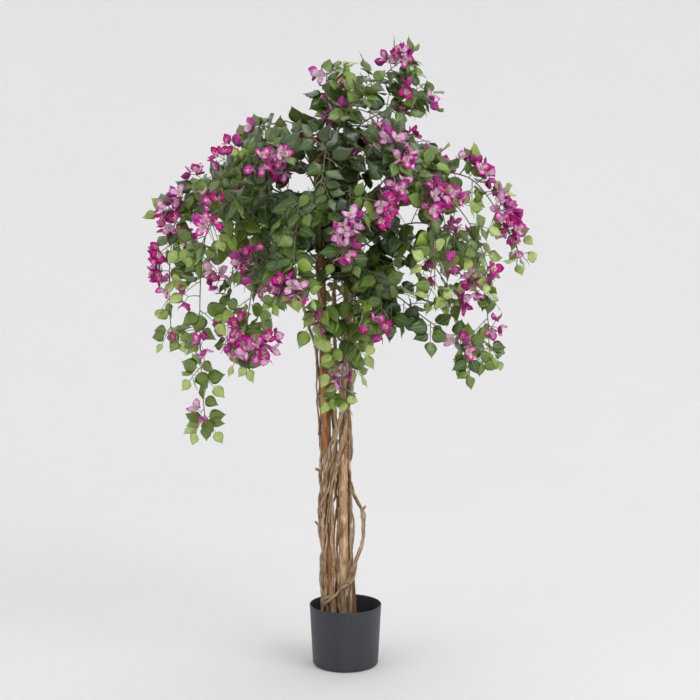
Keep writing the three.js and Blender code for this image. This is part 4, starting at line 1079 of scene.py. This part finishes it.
# ---------------------------------------------------------------- foliage: its meshes
# A blade's outline is (share of its length, half-width there, of its greatest), and its columns are shares of
# that half-width. Fold, arch and curl are the least and the most that blades are bent.
LEAF_SHAPE = {
    "outline": (
        (0.05, 0.48), (0.16, 0.86), (0.3, 1.0), (0.46, 0.94), (0.62, 0.7), (0.76, 0.38), (0.88, 0.12)),
    "columns": (-1, -0.55, -0.05, 0.05, 0.55, 1),
    "width": LEAF["width"],
    "fold": (0.1, 0.42),
    "arch": (0.04, 0.3),
    "curl": (0.0, 0.3),
    "thick": 0.5,
    "throat": 0,
}
BRACT_SHAPE = {
    "outline": ((0.1, 0.42), (0.28, 0.84), (0.5, 1.0), (0.72, 0.82), (0.9, 0.38)),
    "columns": (-1, -0.66, -0.2, 0.2, 0.66, 1),
    "width": 0.8,
    "fold": (0.1, 0.45),
    "arch": (-0.3, 0.16),
    "curl": (0.0, 0.45),
    "thick": 0.4,
    "throat": 2,  # rows
}
RIPPLE = (0.16, 1.4)  # height, and waves along the blade
TWIST = 0.7  # radians from the tip turned most to one side to the one turned most to the other
EDGE, BLADE, RIB, UNDER, THROAT = range(5)  # the parts of a blade that may differ in colour


def blade_template(rows, columns, throat):
    """Faces of a blade and their parts. Its points are numbered base, tip, top grid row by row, then the
    underside's rib. The top is the grid with a fan at each end; the underside shares its edges and has only
    the rib between them. The throat fills the blade's width over so many rows from its base."""
    def top(row, column):
        return 2 + row * columns + column

    def rib(row):
        return 2 + rows * columns + row

    last, edge = rows - 1, columns - 1
    quads, quad_parts, fans, fan_parts = [], [], [], []
    for c in range(edge):
        part = {0: EDGE, edge - 1: EDGE, edge // 2: RIB}.get(c, BLADE)
        fans += [(0, top(0, c), top(0, c + 1)), (1, top(last, c + 1), top(last, c))]
        fan_parts += [THROAT if throat else part, EDGE]
        for r in range(last):
            quads.append((top(r, c), top(r + 1, c), top(r + 1, c + 1), top(r, c + 1)))
            quad_parts.append(THROAT if r < throat - 1 else part if r < last - 1 else EDGE)
    for r in range(last):
        quads.append((top(r, 0), rib(r), rib(r + 1), top(r + 1, 0)))
        quads.append((rib(r), top(r, edge), top(r + 1, edge), rib(r + 1)))
        quad_parts += [UNDER, UNDER]
    fans += [(0, rib(0), top(0, 0)), (0, top(0, edge), rib(0))]
    fans += [(1, top(last, 0), rib(last)), (1, rib(last), top(last, edge))]
    fan_parts += [UNDER] * 4
    return np.array(quads), np.array(quad_parts), np.array(fans), np.array(fan_parts)


def blades(items, outline, columns, width, fold, arch, curl, thick, throat):
    """Many blades from (root, along, face, length, bend, tone). On the grid of u along and v across, a point
    lies u times the length ahead, v times the half-width aside, and as high as a fold by its distance from
    the middle, less an arch by u squared, less curl and ripple by v squared. The underside's rib lies a
    thickness lower, and the blade is twisted along its length. The bend draws fold, arch, curl and twist."""
    root, along, face = (np.array([item[k] for item in items]) for k in range(3))
    length, bend = (np.array([item[k] for item in items], float)[:, None] for k in (3, 4))
    side = np.cross(face, along)
    u_row, w_row = np.array(outline).T
    rows, across = len(outline), len(columns)
    u = np.concatenate([[0, 1], np.repeat(u_row, across), u_row])
    v = np.concatenate([[0, 0], np.tile(columns, rows), np.zeros(rows)])
    w = np.concatenate([[0, 0], np.repeat(w_row, across), w_row])
    half = 0.5 * width * length * w
    x, y = u * length, v * half
    other = (bend * 7.31) % 1.0  # a second draw from the same number
    height, waves = RIPPLE
    ripple = height * np.sin(2 * np.pi * (waves * u + other)) + height
    z = mix(*fold, other) * np.abs(y)
    z = z - mix(*arch, bend) * u**2 * length
    z = z - (mix(*curl, other) + ripple) * v**2 * half
    z[:, -rows:] -= thick
    twist = (bend - 0.5) * TWIST * u
    y, z = y * np.cos(twist), z + y * np.sin(twist)
    points = root[:, None] + x[..., None] * along[:, None]
    points = points + y[..., None] * side[:, None] + z[..., None] * face[:, None]
    blade = np.stack([np.broadcast_to(part, x.shape) for part in (u, np.abs(v), bend)], axis=-1)
    return points, blade, blade_template(rows, across, throat)


def put_blades(name, items, materials, slots_of, shape):
    """One piece of many blades. slots_of gives, for a blade's tone, the material numbers of its edge, blade,
    rib, underside and throat."""
    points, blade, (quads, quad_parts, fans, fan_parts) = blades(items, **shape)
    count, stride = points.shape[:2]
    table = np.array([slots_of(item[5]) for item in items])
    faces = [repeated(quads, count, stride), repeated(fans, count, stride)]
    slots = [table[:, quad_parts].ravel(), table[:, fan_parts].ravel()]
    put(name, points.reshape(-1, 3), faces, materials, slots, "foliage", blade=blade.reshape(-1, 3))


def thin_limbs(limbs, sides):
    """Many thin limbs, each a path with its first and last radius, or with one for all of it."""
    paths = np.stack([path for path, _ in limbs])
    steps = np.linspace(0, 1, paths.shape[1])
    radii = np.stack([mix(*radius, steps) if np.ndim(radius) else steps * 0 + radius for _, radius in limbs])
    return tubes(paths, radii, sides)


# ---------------------------------------------------------------- the pieces
# Each bark: how fine its grain is, and its colours from the darkest up.
BARKS = {
    "orange_pole": (75, ((0.34, (66, 42, 26)), (0.43, (136, 89, 52)), (0.55, (184, 132, 88)),
                         (0.68, (218, 182, 142)))),
    "pale_pole": (95, ((0.34, (72, 50, 34)), (0.43, (148, 112, 76)), (0.54, (202, 169, 129)),
                       (0.67, (240, 222, 194)))),
    "back_pole": (90, ((0.32, (64, 47, 33)), (0.5, (134, 104, 74)), (0.7, (180, 150, 116)))),
    "vine": (150, ((0.33, (60, 46, 35)), (0.43, (134, 107, 80)), (0.55, (194, 168, 138)),
                   (0.68, (238, 226, 204)))),
}
PATCHES = {"pale_pole": (232, 216, 184)}  # the colour of a bark's pale patches
# Each pole's bark, then its roughness, lumps and knots, a knot as height, angle in degrees and size.
POLE_LOOKS = {
    "pole_left": ("orange_pole", 0.05, 0.06, (
        (250, 200, 0.14), (520, 60, 0.2), (700, 300, 0.16), (880, 120, 0.2))),
    "pole_right": ("pale_pole", 0.12, 0.07, (
        (190, 300, 0.22), (300, 20, 0.2), (455, 230, 0.22), (620, 100, 0.2), (790, 340, 0.22),
        (930, 180, 0.2))),
    "pole_back": ("back_pole", 0.1, 0.07, ((400, 90, 0.2), (760, 20, 0.2))),
}


def make_wood():
    barks = {name: bark_finish("bark_" + name, stops, grain, PATCHES.get(name))
             for name, (grain, stops) in BARKS.items()}
    for name, (bark, *relief) in POLE_LOOKS.items():
        dress("bark_" + name, pole(name, *relief), barks[bark], "pole", name)
    for index, name in enumerate(VINES):
        dress("bark_" + name, vine(name, index), barks["vine"], "vine", name)
    dress("bark_thin_climbers", climbers(), barks["vine"], "vine")


# The greens of leaves from the darkest to the palest: the first paints shade, a darker green for the oldest
# leaves and those in the shaded middle of the crown, and the rest go from old to young; OLD of them are old
# leaves'.
GREENS = {
    "painted_shade": (42, 65, 12),
    "deep": (60, 90, 18),
    "mid": (95, 125, 26),
    "fresh": (137, 166, 52),
    "young": (178, 200, 104),
}
MAGENTAS = ((184, 18, 120), (225, 56, 167), (245, 128, 207), (252, 202, 239))  # from the deepest


def make_leaves(leaves):
    """Old leaves, apart from the darkest, have a paler rib."""
    materials = [leaf_finish("leaf_" + tone, colour, 0.34, 0.75, 0.45) for tone, colour in GREENS.items()]
    materials += [
        leaf_finish("leaf_rib", (116, 140, 58), 0.5, 0.15, 0.0),
        leaf_finish("leaf_under_old", (104, 127, 50), 0.7, 0.0, 0.35),
        leaf_finish("leaf_under_young", (160, 180, 88), 0.7, 0.0, 0.35),
    ]
    rib, under_old, under_young = range(len(GREENS), len(materials))

    def slots_of(tone):
        return tone, tone, rib if 0 < tone < OLD else tone, under_old if tone < OLD else under_young, tone

    old = [leaf for leaf in leaves if leaf[5] < OLD]
    young = [leaf for leaf in leaves if leaf[5] >= OLD]
    put_blades("leaves_old", old, materials, slots_of, LEAF_SHAPE)
    put_blades("leaves_young", young, materials, slots_of, LEAF_SHAPE)


def make_bracts(bracts):
    """Each bract's blade is one step paler than its edge, its throat is pale, and in the middle tone its rib
    is too."""
    materials = [bract_finish(f"bract_magenta_{k}", colour) for k, colour in enumerate(MAGENTAS)]
    materials.append(bract_finish("bract_pale_throat", (252, 222, 240)))
    materials.append(bract_finish("bract_back", (200, 76, 164)))
    throat, back = range(len(MAGENTAS), len(materials))

    def slots_of(tone):
        return tone, tone + 1, throat if tone == 1 else tone + 1, back, throat

    put_blades("bracts", bracts, materials, slots_of, BRACT_SHAPE)


def make_limbs(foliage):
    green_bark = stem_finish("stem_green_brown", (
        (0.3, (74, 70, 46)), (0.5, (104, 104, 68)), (0.7, (134, 132, 92))))
    twig_green = stem_finish("twig_green", ((0.3, (92, 98, 56)), (0.7, (150, 152, 98))))
    cream = stem_finish("flower_tube_cream", ((0.3, (206, 196, 120)), (0.7, (236, 228, 178))))
    names = [name for name, *_ in SPRAYS]
    dress("stems", thin_limbs(foliage.stems, 9), green_bark, "foliage", *names)
    dress("twigs", thin_limbs(foliage.twigs, 6), twig_green, "foliage")
    dress("stalks", thin_limbs(foliage.stalks, 4), twig_green, "foliage")
    trumpets = tubes(np.stack(foliage.tubes), np.tile(FLOWER["trumpet"], (len(foliage.tubes), 1)), 5)
    dress("flower_tubes", trumpets, cream, "foliage")


def make_foliage():
    foliage = grown()
    make_leaves(foliage.leaves)
    make_bracts(foliage.bracts)
    make_limbs(foliage)
    print("grown:", len(foliage.stems), "stems,", len(foliage.twigs), "twigs,",
          len(foliage.leaves), "leaves,", len(foliage.bracts) // 3, "flowers")


def arc(centre, radius, first, last, steps):
    """Points (radius, height) of a round edge in a profile, from one angle to another in degrees."""
    turn = np.radians(np.linspace(first, last, steps))
    return [(centre[0] + radius * math.cos(a), centre[1] + radius * math.sin(a)) for a in turn]


def make_pot():
    """The pot's profile, turned about Z: from the middle of its underside, over the rounded foot, the leaning
    wall and the half-round rim, and down the inside to the middle of its floor."""
    rim, foot, height, wall, edge = (POT[key] for key in ("rim", "foot", "height", "wall", "edge"))
    lean = (rim - foot) / (height - edge)
    inner, outer = POT["ring"]
    profile = [(0, POT["raised"]), (foot * inner, POT["raised"]), (foot * outer, 0.0)]
    profile += arc((foot - edge, edge), edge, -90, -4, 7)
    profile += [(foot + lean * (z - edge), z) for z in (*POT["levels"], height - 4)]
    profile += arc((rim - wall / 2, height - wall / 2), wall / 2, 0, 180, 9)
    profile += [(rim - wall - lean * (height - z), z) for z in (*POT["levels"][::-1], 10)]
    profile += [(foot - wall - 6, POT["floor"]), (0, POT["floor"])]
    dress("pot_shell", lathe(profile), pot_finish(), "pot", "pot")


FILL = {
    "foot": 9,
    "play": 0.6,  # between its top's edge and the pot
    "draft": 3.6,  # how much smaller its underside is
    "lumps": (1.6, 13),  # height and width
    "grit": (0.8, 4),  # height and width
    "sunk": 2.4,
    "climb": 1.5,  # up the pot's wall
}


def make_fill():
    """Cement, rough on top: lumps and grit by noise, and a little higher at its edge, by the sixth power of
    the distance from the middle."""
    slope = (POT["rim"] - POT["foot"]) * (POT["height"] - FILL_TOP) / POT["height"]
    inner = POT["rim"] - POT["wall"] - FILL["play"] - slope
    profile = [(0, FILL["foot"]), (inner - FILL["draft"], FILL["foot"])]
    profile += [(r, FILL_TOP) for r in np.linspace(2, inner, 40)[::-1]]
    points, faces = lathe([*profile, (0, FILL_TOP)], 90)
    reach = np.linalg.norm(points[:, :2], axis=1)
    (lump, lump_width), (grit, grit_width) = FILL["lumps"], FILL["grit"]
    rough = lump * noise(points / lump_width, 4) + grit * noise(points / grit_width, 5) - FILL["sunk"]
    is_top = points[:, 2] > FILL_TOP - 1
    points[:, 2] += np.where(is_top, rough + FILL["climb"] * (reach / inner) ** 6, 0)
    dress("cement_fill", (points, faces), cement_finish(), "fill", "fill")


# ---------------------------------------------------------------- studio
# The bowl's floor as radii, the last where it starts to bend up, the bend's radius and the wall's height.
BOWL = {"floor": (400, 1200, 2200), "bend": 3600, "wall": 5200, "segments": 128}
LAMPS = (  # name, place in metres, side in metres, watts
    ("softbox_right", (4.2, -3.4, 4.3), 4.4, 180),
    ("softbox_left", (-4.4, -3.2, 3.8), 4.0, 62),
    ("softbox_above", (0.3, 1.6, 5.2), 3.6, 36),
)
LAMPS_AIM = (0, 0, 0.8)  # in metres
AIR = {"Color": (1.0, 0.995, 0.99, 1), "Strength": 0.6}
CAMERA = {"sensor": 36, "lens": 69.2, "down": 5.08}  # down in degrees below the horizontal


def make_studio():
    """A round pale bowl to stand in, so that every side has the same ground and backdrop."""
    (*flat, edge), bend, segments = BOWL["floor"], BOWL["bend"], BOWL["segments"]
    profile = [(0, 0), *((radius, 0) for radius in flat)]
    profile += arc((edge, bend), bend, -90, 0, 24)
    profile += [(edge + bend, BOWL["wall"]), (0, BOWL["wall"])]
    points, (walls, ends) = lathe(profile, segments)
    put("studio_bowl", points, [walls[:, ::-1], ends[:segments, ::-1]], [paper_finish()])


def make_lights():
    for name, place, size, watts in LAMPS:
        light = bpy.data.lights.new(name, "AREA")
        light.shape = "SQUARE"
        light.size = size
        light.energy = watts
        lamp = bpy.data.objects.new(name, light)
        bpy.context.scene.collection.objects.link(lamp)
        lamp.location = place
        x, y, z = np.array(LAMPS_AIM) - np.array(place, float)
        lamp.rotation_euler = (math.atan2(math.hypot(x, y), -z), 0, math.atan2(y, x) - math.pi / 2)
    world = bpy.data.worlds.new("studio_air")
    world.use_nodes = True
    for socket, value in AIR.items():
        world.node_tree.nodes["Background"].inputs[socket].default_value = value
    bpy.context.scene.world = world


def make_camera():
    camera = bpy.data.cameras.new("camera")
    camera.sensor_width = CAMERA["sensor"]
    camera.lens = CAMERA["lens"]
    eye = bpy.data.objects.new("camera", camera)
    bpy.context.scene.collection.objects.link(eye)
    eye.location = [part * MM for part in EYE]
    eye.rotation_euler = (math.radians(90 - CAMERA["down"]), 0, 0)
    bpy.context.scene.camera = eye
    bpy.context.scene.view_settings.view_transform = "Standard"


make_camera()
make_lights()
make_studio()
make_pot()
make_fill()
make_wood()
make_foliage()
